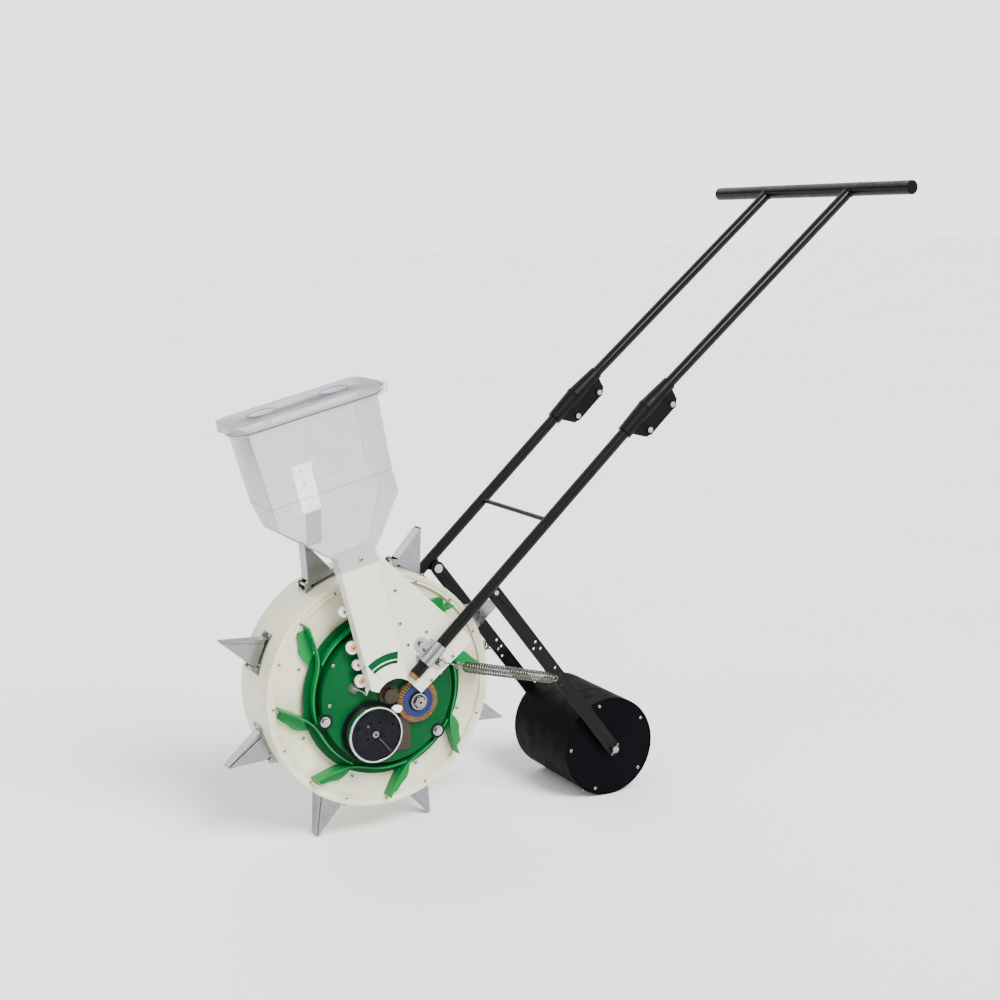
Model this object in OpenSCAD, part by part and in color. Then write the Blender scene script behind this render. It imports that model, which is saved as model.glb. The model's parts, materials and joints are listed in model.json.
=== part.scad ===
// Hand-pushed rolling dibber seeder: a drum with opening beaks, a hopper, a metering unit,
// a two-piece handle and a sprung press roller. The machine rolls towards -X.
// X runs back towards the handle, Y across the machine, Z up, with Z = 0 on the ground.

/* [Drum] */
// Outer radius of the drum shell
drum_r = 200; // [190:1:210]
// Radius on which the beak tips lie
tip_r = 275.3; // [268:0.1:285]
// Half of the drum's width
drum_half = 58; // [54:1:62]
// Wall thickness of the drum shell
shell_t = 4; // [3:0.5:6]
// Angle of the first beak, measured from +X towards +Z
beak_start = 157.5; // [157.5:22.5:180]

/* [Metering] */
// Module of the metering gears
gear_m = 2.5; // [2.4:0.05:2.6]
// Teeth of the internal gear on the drum
ring_teeth = 68; // [66:2:70]
// Teeth of the pinion that turns the seed plate
seed_teeth = 15; // [14:1:16]
// Teeth of the pinion that turns the brush
brush_teeth = 28; // [27:1:29]
// Direction of the seed plate from the drum's axis
seed_dir = -122; // [-124:1:-120]
// Direction of the brush from the drum's axis
brush_dir = -18.7; // [-20:0.1:-17]

/* [Hopper] */
// Lean of the hopper and chute from the vertical, forwards
lean = 12.7; // [11:0.1:14]
// Length of the hopper at its rim
hopper_l = 226; // [215:1:235]
// Width of the hopper across the machine
hopper_w = 104; // [98:1:108]
// Wall thickness of the hopper
hopper_t = 2.5; // [2:0.5:3.5]

/* [Handle] */
// Outer radius of the two long tubes
tube_r = 9.75; // [9:0.25:10.5]
// Outer radius of the handlebar
bar_r = 12.5; // [11:0.5:14]
// Half of the handlebar's length
bar_half = 279.6; // [260:0.1:300]
// Half of the spacing between the two tubes
tube_y = 120.4; // [119:0.1:122]

/* [Press roller] */
// Outer radius of the press roller
roller_r = 89.1; // [85:0.1:92]
// Half of the press roller's width
roller_half = 94.9; // [90:0.1:97]
// Distance of the roller's axle behind the drum's axis
roller_x = 424; // [415:1:430]

/* [Hidden] */
$fn = 64;

beaks = 8;
pitch = 360 / beaks;
tip_angle = pitch / 2;
wall_t = 1.5;

// Points in the plane of X and Z, measured from the drum's axis
tube_start = [36.2, 34.9];
knee = [488.6, 440.5];
grip = [933, 804.6];
low_angle = atan2(knee[1] - tube_start[1], knee[0] - tube_start[0]);
high_angle = atan2(grip[1] - knee[1], grip[0] - knee[0]);
roller_at = [roller_x, roller_r - tip_r * cos(tip_angle)];

// The drum's axis, placed so that the whole machine is centred on X = 0 and stands on Z = 0
drum_z = tip_r * cos(tip_angle);
drum_x = -(grip[0] + bar_r - drum_z) / 2;

running = 0.05;
skin = 0.5;

// ---- helpers -------------------------------------------------------------------------------

// Everything is drawn about the drum's axis and moved to its place once
module place() {
    translate([drum_x, 0, drum_z]) children();
}

// A flat shape in X and Z with a thickness along Y
module slab(y0, y1) {
    translate([0, y1, 0]) rotate([90, 0, 0]) linear_extrude(y1 - y0) children();
}

// A round bar along Y
module bar(r, y0, y1, at = [0, 0]) {
    slab(y0, y1) translate(at) circle(r);
}

// A turned shape about the drum's axis; its profile is (radius, height towards -Y)
module turned(at = [0, 0]) {
    translate([at[0], 0, at[1]]) rotate([90, 0, 0]) rotate_extrude($fn = 96) children();
}

// A round tube in the plane at y, from point a towards angle
module tube(a, y, angle, length, r, bore = 0) {
    translate([a[0], y, a[1]]) rotate([0, 90 - angle, 0]) difference() {
        cylinder(h = length, r = r);
        if (bore > 0) translate([0, 0, -1]) cylinder(h = length + 2, r = bore);
    }
}

// The mirror image of a left-hand piece
module right_hand() {
    mirror([0, 1, 0]) children();
}

module both_hands() {
    children();
    right_hand() children();
}

// Turns children from the radial direction +X to the angle a about the drum's axis
module at_angle(a) {
    rotate([0, -a, 0]) children();
}

function polar(r, a) = [r * cos(a), r * sin(a)];
function dist(a, b) = norm(b - a);
function leaning(u, v) = [u * cos(lean) - v * sin(lean), u * sin(lean) + v * cos(lean)];
function along(a, angle, s, n = 0) =
    [a[0] + s * cos(angle) - n * sin(angle), a[1] + s * sin(angle) + n * cos(angle)];

// ---- handle --------------------------------------------------------------------------------

low_len = dist(tube_start, knee);
high_len = dist(knee, grip);
joint_gap = 2;
brace_x = 291.5;
brace_at = along(tube_start, low_angle, (brace_x - tube_start[0]) / cos(low_angle));
pivot_at = [191, 151.5];
pivot_drop = (brace_at[1] - pivot_at[1]) * cos(low_angle) - (brace_at[0] - pivot_at[0]) * sin(low_angle);
lug_y0 = -117.5;
lug_y1 = -112;
clamp_s = 43.5;
clamp_len = 40;
clamp_bolts = [23.8, -23.8];
coupler_bolts = [[-24.7, -28.1], [36.9, -28.9]];

// A long tube with a lug welded underneath, which carries the press arm's pivot
module lower_tube() {
    color("black") place() union() {
        tube(tube_start, -tube_y, low_angle, low_len - joint_gap, tube_r, tube_r - wall_t);
        difference() {
            slab(lug_y0, lug_y1) union() {
                translate(pivot_at) circle(9.5);
                translate(pivot_at) rotate(low_angle)
                    polygon([[-8, 0], [-16, pivot_drop - 2], [16, pivot_drop - 2], [8, 0]]);
            }
            bar(4, lug_y0 - 1, lug_y1 + 1, pivot_at);
            tube(tube_start, -tube_y, low_angle, low_len, tube_r - wall_t / 2);
        }
    }
}

module upper_tube() {
    color("black") place() difference() {
        tube(along(knee, high_angle, joint_gap), -tube_y, high_angle, high_len - joint_gap,
            tube_r, tube_r - wall_t);
        bar(bar_r, -tube_y - 20, -tube_y + 20, grip);
    }
}

module cross_brace() {
    color("black") place() difference() {
        bar(4, -tube_y, tube_y, brace_at);
        for (y = [-tube_y, tube_y]) tube(tube_start, y, low_angle, low_len, tube_r);
    }
}

// Two tapered sleeves that meet at the knee, with a bolted flange beneath
module coupler() {
    color("black") place() difference() {
        union() {
            translate([knee[0], -tube_y, knee[1]]) {
                sphere(15.8);
                rotate([0, 90 - high_angle, 0]) cylinder(h = 62, r1 = 15.2, r2 = 12);
                rotate([0, -90 - low_angle, 0]) cylinder(h = 60, r1 = 15.2, r2 = 13);
            }
            slab(-tube_y - 9, -tube_y + 9) translate(knee) rotate(low_angle) union() {
                polygon([[-50, 0], [-50, -14], [-37, -34], [-25, -38], [40, -38], [51, -30], [58, 0]]);
                for (b = coupler_bolts) translate(b) circle(10);
            }
        }
        tube(tube_start, -tube_y, low_angle, low_len - joint_gap + 0.5, tube_r);
        tube(along(knee, high_angle, joint_gap - 0.5), -tube_y, high_angle, high_len, tube_r);
        for (b = coupler_bolts)
            bar(3, -tube_y - 20, -tube_y + 20, along(knee, low_angle, b[0], b[1]));
    }
}

// The handlebar, turned down a little at both ends to seat a grip
seat_len = 130;
seat_r = bar_r - 0.2;

module handlebar() {
    color("black") place() difference() {
        union() {
            bar(seat_r, -bar_half + 3, bar_half - 3, grip);
            bar(bar_r, seat_len - bar_half, bar_half - seat_len, grip);
        }
        bar(bar_r - wall_t, -bar_half, bar_half, grip);
    }
}

// Plugs in the ends of the handlebar and in the lower ends of the two tubes
module end_plugs() {
    color("dimgray") place() both_hands() {
        bar(seat_r, -bar_half, -bar_half + 3, grip);
        bar(bar_r - wall_t, -bar_half + 3, -bar_half + 15, grip);
        tube(along(tube_start, low_angle, -7), -tube_y, low_angle, 7, tube_r - wall_t);
        tube(tube_start, -tube_y, low_angle, 12, tube_r - wall_t);
    }
}

// ---- frame fittings ------------------------------------------------------------------------

plate_y0 = -110.5;
plate_y1 = -106.5;
hook_y = -116.5;
clamp_mid = along(tube_start, low_angle, clamp_s);
clamp_holes = [for (n = clamp_bolts) along(tube_start, low_angle, clamp_s, n)];

// Where the saddle's sheet flares from the tube out to the plate
module saddle_flare() {
    foot = tube_y + plate_y0;
    start = along(tube_start, low_angle, clamp_s - clamp_len / 2 + 1);
    for (side = [-1, 1]) translate([start[0], -tube_y, start[1]]) rotate([0, 90 - low_angle, 0])
        linear_extrude(clamp_len - 2) polygon([[9.9 * side, foot - 0.5], [9.9 * side, 0], [12.6 * side, 0],
            [14.5 * side, foot - 5], [17.5 * side, foot - 1.5], [17.5 * side, foot - 0.5]]);
}

// A saddle of bent steel over the tube, with a round ear each side
module tube_clamp() {
    color("silver") place() difference() {
        union() {
            tube(along(tube_start, low_angle, clamp_s - clamp_len / 2), -tube_y, low_angle, clamp_len,
                tube_r + 2);
            saddle_flare();
            slab(plate_y0 - 2, plate_y0) union() {
                for (h = clamp_holes) translate(h) circle(12);
                translate(clamp_mid) rotate(low_angle)
                    translate([-12, clamp_bolts[1]]) square([24, clamp_bolts[0] - clamp_bolts[1]]);
            }
        }
        tube(tube_start, -tube_y, low_angle, 80, tube_r);
        slab(plate_y0, 0) square([160, 160]);
        for (h = clamp_holes) bar(3, -140, -90, h);
    }
}

module hex(r, y0, y1, at) {
    slab(y0, y1) translate(at) circle(r, $fn = 6);
}

// A bolt with a hexagonal head at y0 and a nut at y1
module hex_bolt(r, y0, y1, at, head = 5, nut = 5) {
    bar(r, y0, y1, at);
    hex(r * 1.8, y0 - head, y0, at);
    if (nut > 0) hex(r * 1.8, y1, y1 + nut, at);
}

arm_y0 = -109.6;
arm_y1 = -105.6;

module frame_bolts() {
    color("silver") place() both_hands() {
        for (b = coupler_bolts)
            hex_bolt(3, -tube_y - 9, -tube_y + 9, along(knee, low_angle, b[0], b[1]));
        hex_bolt(3, plate_y0 - 2, plate_y1, clamp_holes[0], 5, 3);
        hex_bolt(3, hook_y - 2.5, plate_y1, clamp_holes[1], 3, 3);
        bar(4 - running, lug_y0 - 2, arm_y1 + 3, pivot_at);
        bar(7, lug_y1, arm_y0 - skin, pivot_at);
        bar(8, arm_y1 + skin, arm_y1 + 4, pivot_at);
    }
}

plate_left_edge = [leaning(27.3, 233.5), leaning(27.3, 25)];
post_at = [[29.7, 83.9], [69.6, 17.8]];
post_r = 3;

module plate_outline() {
    polygon([plate_left_edge[0], plate_left_edge[1], [51.5, -1.2], [133, 62], [143, 78],
        [141, 84], [-14, 239]]);
}

// The plate that carries the metering unit, with posts that reach the dish
module side_plate_left() {
    color("ivory") place() difference() {
        union() {
            slab(plate_y0, plate_y1) plate_outline();
            for (p = post_at) bar(post_r, plate_y1, -dish_front, p);
        }
        for (h = clamp_holes) bar(3, -120, -90, h);
    }
}

// The far plate runs down to the axle
module side_plate_right() {
    color("ivory") place() right_hand() difference() {
        union() {
            slab(plate_y0, plate_y1)
                polygon([[-22, 4], [10, 104], [60, 118], [118, 96], [143, 78], [133, 62], [9, -22]]);
            bar(29, plate_y0, plate_y1);
        }
        for (h = clamp_holes) bar(3, -120, -90, h);
        bar(8, -120, -90);
    }
}

// The axle doesn't turn: the drum's bearings run on it
module main_axle() {
    color("silver") place() union() {
        bar(8, -104, 118);
        bar(11, 62.5, 106.5);
    }
}

module axle_nut() {
    color("silver") place() union() {
        difference() {
            bar(14, 110.5, 112.5);
            bar(8, 110, 113);
        }
        difference() {
            hex(14, 112.5, 121, [0, 0]);
            bar(8, 112, 118);
        }
    }
}

// ---- seed path -----------------------------------------------------------------------------

chute_u0 = -37.5;
chute_u1 = 26.5;
chute_top = 262;
chute_y0 = -125;
chute_y1 = -103;
chute_t = 2.5;
arch_r = 35;
window_r = [60, 80];
window_a = [86, 128];
ears = [[-43, 166.5, 8.6], [-44, 104, 10.6], [-43, 73, 8.6], [-44, 45, 10.6]];

// The chute's outline seen from the side, from its top down to the arch over the axle
module chute_outline(u0, u1) {
    difference() {
        polygon([leaning(u0, chute_top), leaning(u0, 30), polar(arch_r - 12, 150),
            [0, 0], leaning(u1, 22), leaning(u1, chute_top)]);
        circle(arch_r);
    }
}

// A window between two radii and two angles about the drum's axis
module arc_window(extra = 0) {
    intersection() {
        difference() {
            circle(window_r[1] + extra);
            circle(window_r[0] - extra);
        }
        polygon([[0, 0], polar(150, window_a[0] - extra * 0.8), polar(150, window_a[1] + extra * 0.8)]);
    }
}

// The outer half of the chute is a tray with ears along its front edge
module chute_front() {
    color("white") place() difference() {
        union() {
            slab(chute_y0, chute_y1) chute_outline(chute_u0, chute_u1);
            for (e = ears) bar(e[2], chute_y1 - 4, chute_y1, leaning(e[0], e[1]));
        }
        difference() {
            slab(chute_y0 + chute_t, chute_y1 + 1) chute_outline(chute_u0 + chute_t, chute_u1 - chute_t);
            bar(arch_r + chute_t, chute_y0, chute_y1 + 2);
            slab(chute_y0, chute_y1 + 2)
                polygon([[0, 0], leaning(chute_u0 - 2, 26), leaning(chute_u0 - 2, 40),
                    leaning(chute_u0 + 9, 37)]);
        }
        slab(chute_y0 - 1, chute_y0 + chute_t + 1) arc_window();
        for (e = ears) bar(1.5, chute_y1 - 5, chute_y1 + 1, leaning(e[0], e[1]));
    }
}

// The inner half closes the tray and holds the spout that feeds the dish
module chute_back() {
    color("white") place() difference() {
        union() {
            slab(chute_y1, chute_y1 + 3) difference() {
                union() {
                    chute_outline(chute_u0, chute_u1 + 14);
                    for (e = ears) translate(leaning(e[0], e[1])) circle(e[2]);
                    polygon([leaning(chute_u0 + 4, 60), leaning(chute_u0 - 4, 16), polar(arch_r + 8, 138)]);
                }
                translate(leaning(chute_u1 + 15, chute_top)) rotate(lean) square([30, 80], center = true);
            }
            slab(chute_y1 + 3, -92) arc_window(3);
        }
        slab(chute_y1 - 1, -91) arc_window();
        for (e = ears) bar(1.5, chute_y1 - 1, chute_y1 + 4, leaning(e[0], e[1]));
    }
}

plate_screws = [[9.6, 177.7], [63, 101.1], [110, 53], [16.5, 121.3], each post_at];

// Small pan-head screws of the chute, the side plate and the metering ring
module casing_screws() {
    color("silver") place() union() {
        for (e = ears) {
            bar(1.5, chute_y1 - 4, chute_y1 + 3, leaning(e[0], e[1]));
            bar(3.2, chute_y1 - 6, chute_y1 - 4, leaning(e[0], e[1]));
        }
        for (p = plate_screws) bar(3.2, plate_y0 - 2, plate_y0, p);
        bar(3.5, chute_y0 - 4.7, chute_y0 - 2.7, leaning(neck_u + 5, neck_v - 12));
        for (a = [100, 220, 340]) bar(2, ring_y0 - 1.5, ring_y0, seed_at + polar(44.8, a));
    }
}

// ---- hopper --------------------------------------------------------------------------------

hopper_u = -9;
neck_u = (chute_u0 + chute_u1) / 2;
hopper_y0 = -107;
rim_v = 493;
crease_v = 364;
shoulder_v = 328;
neck_v = 258;
neck_half = 38;
collar_half = (chute_u1 - chute_u0) / 2 + 0.3;
taper = 6;

// A rounded rectangle in the hopper's own leaning frame: half length, y from y0 to y1, at height v
module hopper_layer(half, y0, y1, v, r, h = 0.5, u = hopper_u) {
    at_lean() translate([u, 0, v]) linear_extrude(h) union() {
        translate([-half + r, y0]) square([2 * (half - r), y1 - y0]);
        translate([-half, y0 + r]) square([2 * half, y1 - y0 - 2 * r]);
        for (x = [-half + r, half - r], y = [y0 + r, y1 - r]) translate([x, y]) circle(r, $fn = 32);
    }
}

module at_lean() {
    rotate([0, -lean, 0]) children();
}

// The hopper's body: a tapered box over a funnel that slopes down to the neck at the side
module hopper_form(inset, top_extra) {
    half = hopper_l / 2 - inset;
    y0 = hopper_y0 + inset;
    y1 = hopper_y0 + hopper_w - inset;
    hull() {
        hopper_layer(half, y0, y1, rim_v - 0.5 + top_extra, 9 - inset);
        hopper_layer(half - taper, y0, y1, crease_v, 9 - inset);
    }
    hull() {
        hopper_layer(half - taper, y0, y1, crease_v, 9 - inset);
        hopper_layer(half - taper, y0 - 6, y1 - 34, shoulder_v, 9 - inset);
        hopper_layer(neck_half - inset, chute_y0 + inset - 3, chute_y1 - inset + 8, neck_v, 4 - inset,
            0.5, neck_u);
    }
}

module hopper() {
    color("whitesmoke", 0.4) place() difference() {
        union() {
            hopper_form(0, 0);
            hopper_layer(hopper_l / 2 + 5, hopper_y0 - 4, hopper_y0 + hopper_w + 4, rim_v - 3, 16, 3);
            hopper_layer(collar_half + 2.4, chute_y0 - 2.7, chute_y1 + 5.7, neck_v - 24, 3, 24.2, neck_u);
        }
        hopper_form(hopper_t, 5);
        hopper_layer(collar_half, chute_y0 - 0.3, chute_y1 + 3.3, neck_v - 30, 1, 36, neck_u);
    }
}

lid_v = rim_v - 3;
lid_h = 15;
lid_front = -129;
lid_back = 124;
lid_mid = (lid_front + lid_back) / 2;
lid_half = (lid_back - lid_front) / 2;
lid_t = 2;
lid_margin = 6.5;
lid_corner = 23;
hinge_uv = [hopper_u + lid_back + 5.5, rim_v + 4];
hinge_at = leaning(hinge_uv[0], hinge_uv[1]);
knuckle_r = 4.5;
scoop_r = 60;
scoop_lift = 55;

module lid_layer(inset, v0, h) {
    y0 = hopper_y0 - lid_margin + inset;
    y1 = hopper_y0 + hopper_w + lid_margin - inset;
    half = lid_half - inset;
    r = lid_corner - inset;
    at_lean() translate([hopper_u + lid_mid, 0, lid_v + v0]) linear_extrude(h) union() {
        translate([-half + r, y0]) square([2 * (half - r), y1 - y0]);
        translate([-half, y0 + r]) square([2 * half, y1 - y0 - 2 * r]);
        for (x = [-half + r, half - r], y = [y0 + r, y1 - r]) translate([x, y]) circle(r);
    }
}

// The finger scoops are dished into the lid's top
module scoops(r) {
    at_lean() for (u = [-62, 62])
        translate([hopper_u + lid_mid + u, hopper_y0 + hopper_w / 2, lid_v + lid_h + scoop_lift]) sphere(r);
}

// The lid is a shallow tray turned upside down, with stops inside and a tab in front
module hopper_lid() {
    color("whitesmoke", 0.4) place() difference() {
        union() {
            difference() {
                lid_layer(0, 0, lid_h);
                lid_layer(lid_t, -1, lid_h - lid_t + 1);
            }
            intersection() {
                lid_layer(lid_t, 0, lid_h);
                scoops(scoop_r + lid_t);
            }
            at_lean() for (u = [-80, 80], y = [hopper_y0 + 1, hopper_y0 + hopper_w - 3])
                translate([hopper_u + u, y, rim_v + 0.35]) cube([12, 2, lid_v + lid_h - lid_t / 2 - rim_v]);
            at_lean() translate([hopper_u + lid_front - 6, hopper_y0 + 14, lid_v]) cube([8, 24, 2.5]);
            for (y = [hopper_y0 + 18, hopper_y0 + hopper_w - 38]) slab(y, y + 20) union() {
                translate(hinge_at) circle(knuckle_r);
                translate(hinge_at) rotate(lean) translate([-6.5, -2]) square([6.5, 6.5]);
            }
        }
        bar(2 + running, hopper_y0, hopper_y0 + hopper_w, hinge_at);
        scoops(scoop_r);
    }
}

// The outside of the hopper's end wall at height v
function wall_u(v) = hopper_u + hopper_l / 2 - taper + taper * (v - crease_v) / (rim_v - 0.5 - crease_v);

lug_low = -13;
lug_high = -8;
lug_foot = [wall_u(hinge_uv[1] + lug_low) - hinge_uv[0], wall_u(hinge_uv[1] + lug_high) - hinge_uv[0]];

// Three lugs that reach out under the lid's edge, and the pin through them
module lid_hinge() {
    color("whitesmoke") place() union() {
        bar(2, hopper_y0 + 6, hopper_y0 + hopper_w - 6, hinge_at);
        for (y = [hopper_y0 + 6, hopper_y0 + 46, hopper_y0 + hopper_w - 17]) slab(y, y + 11) union() {
            translate(hinge_at) circle(knuckle_r);
            translate(hinge_at) rotate(lean) polygon([[-3, -13], [4, -11], [4, 0], [-1, 0], [-3, -4]]);
            translate(hinge_at) rotate(lean)
                polygon([[lug_foot[0], lug_low], [0, lug_low], [0, -9], [-3, lug_high],
                    [lug_foot[1], lug_high]]);
        }
    }
}

// The hopper's sloping floor: where its inside stands at height v
floor_y0 = chute_y1 + 8 - hopper_t;
floor_slope = (hopper_y0 + hopper_w - hopper_t - floor_y0) / (crease_v - neck_v);
function floor_y(v) = floor_y0 + floor_slope * (v - neck_v);

bracket_y = -40;
bracket_t = 2.5;
bracket_v = neck_v + (bracket_y - floor_y0) / floor_slope;
bracket_top = 400;

// A flat shape in Y and V, from u0 to u1 along the hopper
module along_hopper(u0, u1) {
    at_lean() translate([u0, 0, 0]) rotate([90, 0, 90]) linear_extrude(u1 - u0) children();
}

// A bent bracket that stands on the hopper's sloping floor and carries the feed gate
module gate_bracket() {
    color("white") place() difference() {
        along_hopper(-45, -12) union() {
            polygon([[bracket_y, bracket_v], [bracket_y + bracket_t, bracket_v + bracket_t / floor_slope],
                [bracket_y + bracket_t, bracket_top], [bracket_y, bracket_top]]);
            polygon([[bracket_y - 14, bracket_top + 3], [bracket_y - 14, bracket_top],
                [bracket_y, bracket_top - 3], [bracket_y + bracket_t, bracket_top],
                [bracket_y, bracket_top + 3]]);
        }
        for (v = [371, 392]) at_lean() translate([-30, bracket_y - 2, v])
            rotate([-90, 0, 0]) cylinder(h = 2 * bracket_t + 2, r = 3);
    }
}

// The feed gate: a slide that lies on the sloping floor, below the bracket
module gate_slide() {
    color("gray") place() along_hopper(-43, -16) polygon([[floor_y(279), 279], [floor_y(320), 320],
        [floor_y(320) - 2, 322], [floor_y(279) - 3, 281.6]]);
}

// ---- metering unit -------------------------------------------------------------------------

pitch_r = gear_m * ring_teeth / 2;
seed_pitch_r = gear_m * seed_teeth / 2;
brush_pitch_r = gear_m * brush_teeth / 2;
seed_at = polar(pitch_r - seed_pitch_r, seed_dir);
brush_at = polar(pitch_r - brush_pitch_r, brush_dir);
dish_r = 118;
dish_front = 92;
flange_r = 141;
flange_h = [66, 69];
gear_h = [51, 61];
ring_y0 = -119;
ring_y1 = -92;
lip_r = 43.9;
pressure = 25;
backlash = 0.45;

// The dish that holds the seed: a domed front, a cylindrical wall and a flat flange
module seed_dish() {
    color("green") place() difference() {
        union() {
            turned() polygon([[8, dish_front], [dish_r - 5, dish_front], [dish_r - 1.5, dish_front - 1.5],
                [dish_r, dish_front - 5], [dish_r, flange_h[1]], [flange_r, flange_h[1]],
                [flange_r, flange_h[0]], [dish_r - 3, flange_h[0]], [dish_r - 3, dish_front - 3],
                [14, dish_front - 3], [14, flange_h[1]], [8, flange_h[1]]]);
            for (p = [seed_at, brush_at]) bar(11, -dish_front, -dish_front + 14, p);
            for (p = dish_bolt_at) bar(ear_boss_r, -dish_front, -flange_h[0], p);
        }
        for (p = [seed_at, brush_at]) bar(5 + running, -dish_front - 1, -dish_front + 15, p);
        for (p = dish_bolt_at) bar(3, -dish_front - 1, -dish_front + 8, p);
        slab(-dish_front - 1, -dish_front + 4) arc_window();
        at_angle(-88) translate([dish_r - 8, -dish_front + 6, -30]) cube([20, 14, 60]);
    }
}

// Two bolts with wide washers through the dish
dish_bolt_at = [polar(116.5, -166), polar(116.5, -41.5)];
ear_boss_r = 9;
module dish_bolts() {
    color("silver") place() for (at = dish_bolt_at) {
        bar(8.5, -dish_front - 2, -dish_front, at);
        hex(6, -dish_front - 7, -dish_front - 2, at);
        bar(3, -dish_front, -dish_front + 8, at);
    }
}

module hub_bush() {
    color("rosybrown") place() difference() {
        union() {
            bar(18, -dish_front - 4.3, -dish_front);
            bar(12.4, -105.5, -dish_front - 4);
        }
        bar(8, -104, -90);
    }
}

// The chromed ring round the seed plate
module metering_ring() {
    color("silver") place() turned(seed_at)
        polygon([[44.5, -ring_y1], [47, -ring_y1], [47, -ring_y0 - 1], [46, -ring_y0],
            [lip_r, -ring_y0], [lip_r, -ring_y0 - 2], [44.5, -ring_y0 - 2]]);
}

module metering_cover() {
    color("whitesmoke", 0.3) place() bar(lip_r - 0.1, ring_y0 + 0.2, ring_y0 + 2, seed_at);
}

// A smoky cover behind the ring and the brush
module seed_chamber() {
    color("rosybrown") place() difference() {
        slab(-95.5, -dish_front) difference() {
            union() {
                translate(seed_at) circle(50);
                translate([-12, -98]) square([48, 57]);
            }
            translate(seed_at) circle(47.2);
            translate(brush_at) circle(7);
            circle(18.4);
        }
        bar(9.5, -100, -90, dish_bolt_at[1]);
    }
}

// Involute flank, as the angle by which the tooth narrows from the pitch circle to radius r
function inv(a) = tan(a) * 180 / PI - a;
function half_tooth(r, pr, n, slack) =
    let (base = pr * cos(pressure), a = r > base ? acos(base / r) : 0)
    90 / n + inv(pressure) - inv(a) - slack / pr * 90 / PI;

// A gear's outline: n teeth of pitch radius pr, between a root and a tip radius
module gear_outline(n, pr, root, tip, slack) {
    steps = 4;
    rs = [for (i = [0 : steps]) root + (tip - root) * i / steps];
    polygon([for (k = [0 : n - 1]) each concat(
        [for (i = [0 : steps]) polar(rs[i], k * 360 / n - half_tooth(rs[i], pr, n, slack))],
        [for (i = [steps : -1 : 0]) polar(rs[i], k * 360 / n + half_tooth(rs[i], pr, n, slack))])]);
}

// The drum's internal gear; a tooth space points at the seed pinion
module ring_gear() {
    color("ivory") place() union() {
        slab(-gear_h[1], -gear_h[0]) difference() {
            circle(100, $fn = 96);
            rotate(seed_dir) gear_outline(ring_teeth, pitch_r, pitch_r - gear_m * 0.9,
                pitch_r + gear_m * 1.2, -backlash);
        }
        turned() polygon([[100, gear_h[0]], [150, gear_h[0]], [150, drum_half - 4], [100, drum_half - 4]]);
    }
}

// How far the nearest tooth space is from the brush's direction
ring_pitch = 360 / ring_teeth;
brush_phase = (seed_dir - brush_dir) / ring_pitch;
brush_offset = (brush_phase - round(brush_phase)) * ring_pitch;

module pinion(n, pr, at, turn, bore_h) {
    slab(-gear_h[1] + 0.5, -gear_h[0] - 0.5) translate(at) rotate(turn)
        gear_outline(n, pr, pr - gear_m * 1.15, pr + gear_m * 0.9, 0);
    bar(8, -gear_h[1] + 0.5 - bore_h, -gear_h[1] + 0.5, at);
}

// The seed plate: a disc with pockets round its edge, on a shaft
module seed_plate() {
    color("black") place() union() {
        difference() {
            bar(43.4, ring_y0 + 4, ring_y0 + 22, seed_at);
            for (a = [0 : 45 : 315]) bar(4, ring_y0 + 10, ring_y0 + 18, seed_at + polar(42.5, a));
            for (a = [22.5 : 45 : 337.5])
                bar(3, ring_y0 + 3, ring_y0 + 8, seed_at + polar(24 + 8 * sin(3 * a), a));
        }
        bar(9, ring_y0 + 2.6, ring_y0 + 4, seed_at);
        bar(5, ring_y0 + 22, -gear_h[0] + 3, seed_at);
    }
}

module seed_pinion() {
    color("white") place() difference() {
        pinion(seed_teeth, seed_pitch_r, seed_at, seed_dir, 6);
        bar(5, -90, -40, seed_at);
    }
}

module brush_shaft() {
    color("silver") place() union() {
        bar(5, -116, -gear_h[0] + 3, brush_at);
        difference() {
            bar(14, -109.5, -105.2, brush_at);
            bar(11.5, -110, -108.5, brush_at);
        }
        hex(9.5, -114.5, -108.5, brush_at);
    }
}

module brush_hub() {
    color("royalblue") place() difference() {
        union() {
            bar(27, -105, -95.8, brush_at);
            pinion(brush_teeth, brush_pitch_r, brush_at,
                brush_dir + brush_offset * ring_teeth / brush_teeth, 6);
        }
        bar(5, -120, -40, brush_at);
        bar(24, -106, -104, brush_at);
    }
}

module brush_bristles() {
    color("sienna") place() difference() {
        bar(37, -104, -96.8, brush_at);
        bar(27, -110, -90, brush_at);
    }
}

// ---- drum ----------------------------------------------------------------------------------

beak_angles = [for (k = [0 : beaks - 1]) beak_start + k * pitch];
side_h = 62;
band_r = 186;
cover_r = 128;

module drum_shell() {
    color("ivory") place() difference() {
        turned() polygon([[drum_r - shell_t, -drum_half], [drum_r, -drum_half],
            [drum_r, drum_half], [drum_r - shell_t, drum_half]]);
        for (a = beak_angles) at_angle(a) translate([drum_r - 12, -9, -11]) cube([20, 18, 22]);
    }
}

// The near side is a ring with a raised band and a recessed floor
module drum_side_left() {
    color("ivory") place() turned() polygon([[cover_r, drum_half - 4], [drum_r - shell_t, drum_half - 4],
        [drum_r - shell_t, drum_half], [drum_r, drum_half], [drum_r, side_h - 1.5],
        [drum_r - 1.5, side_h], [band_r + 6, side_h], [band_r + 5, side_h - 1.2],
        [band_r + 3.5, side_h - 1.2], [band_r + 2.5, side_h], [band_r, side_h],
        [band_r - 2, drum_half - 1], [cover_r, drum_half - 1]]);
}

// The far side is closed, with a long hub inside
module drum_side_right() {
    color("ivory") place() turned() polygon([[17.5, 30], [24, 30], [26, -drum_half + 4],
        [drum_r - shell_t, -drum_half + 4], [drum_r - shell_t, -drum_half], [drum_r, -drum_half],
        [drum_r, -side_h], [band_r, -side_h], [band_r - 2, -drum_half + 1], [34, -drum_half + 1],
        [30, -side_h], [17.5, -side_h]]);
}

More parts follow.
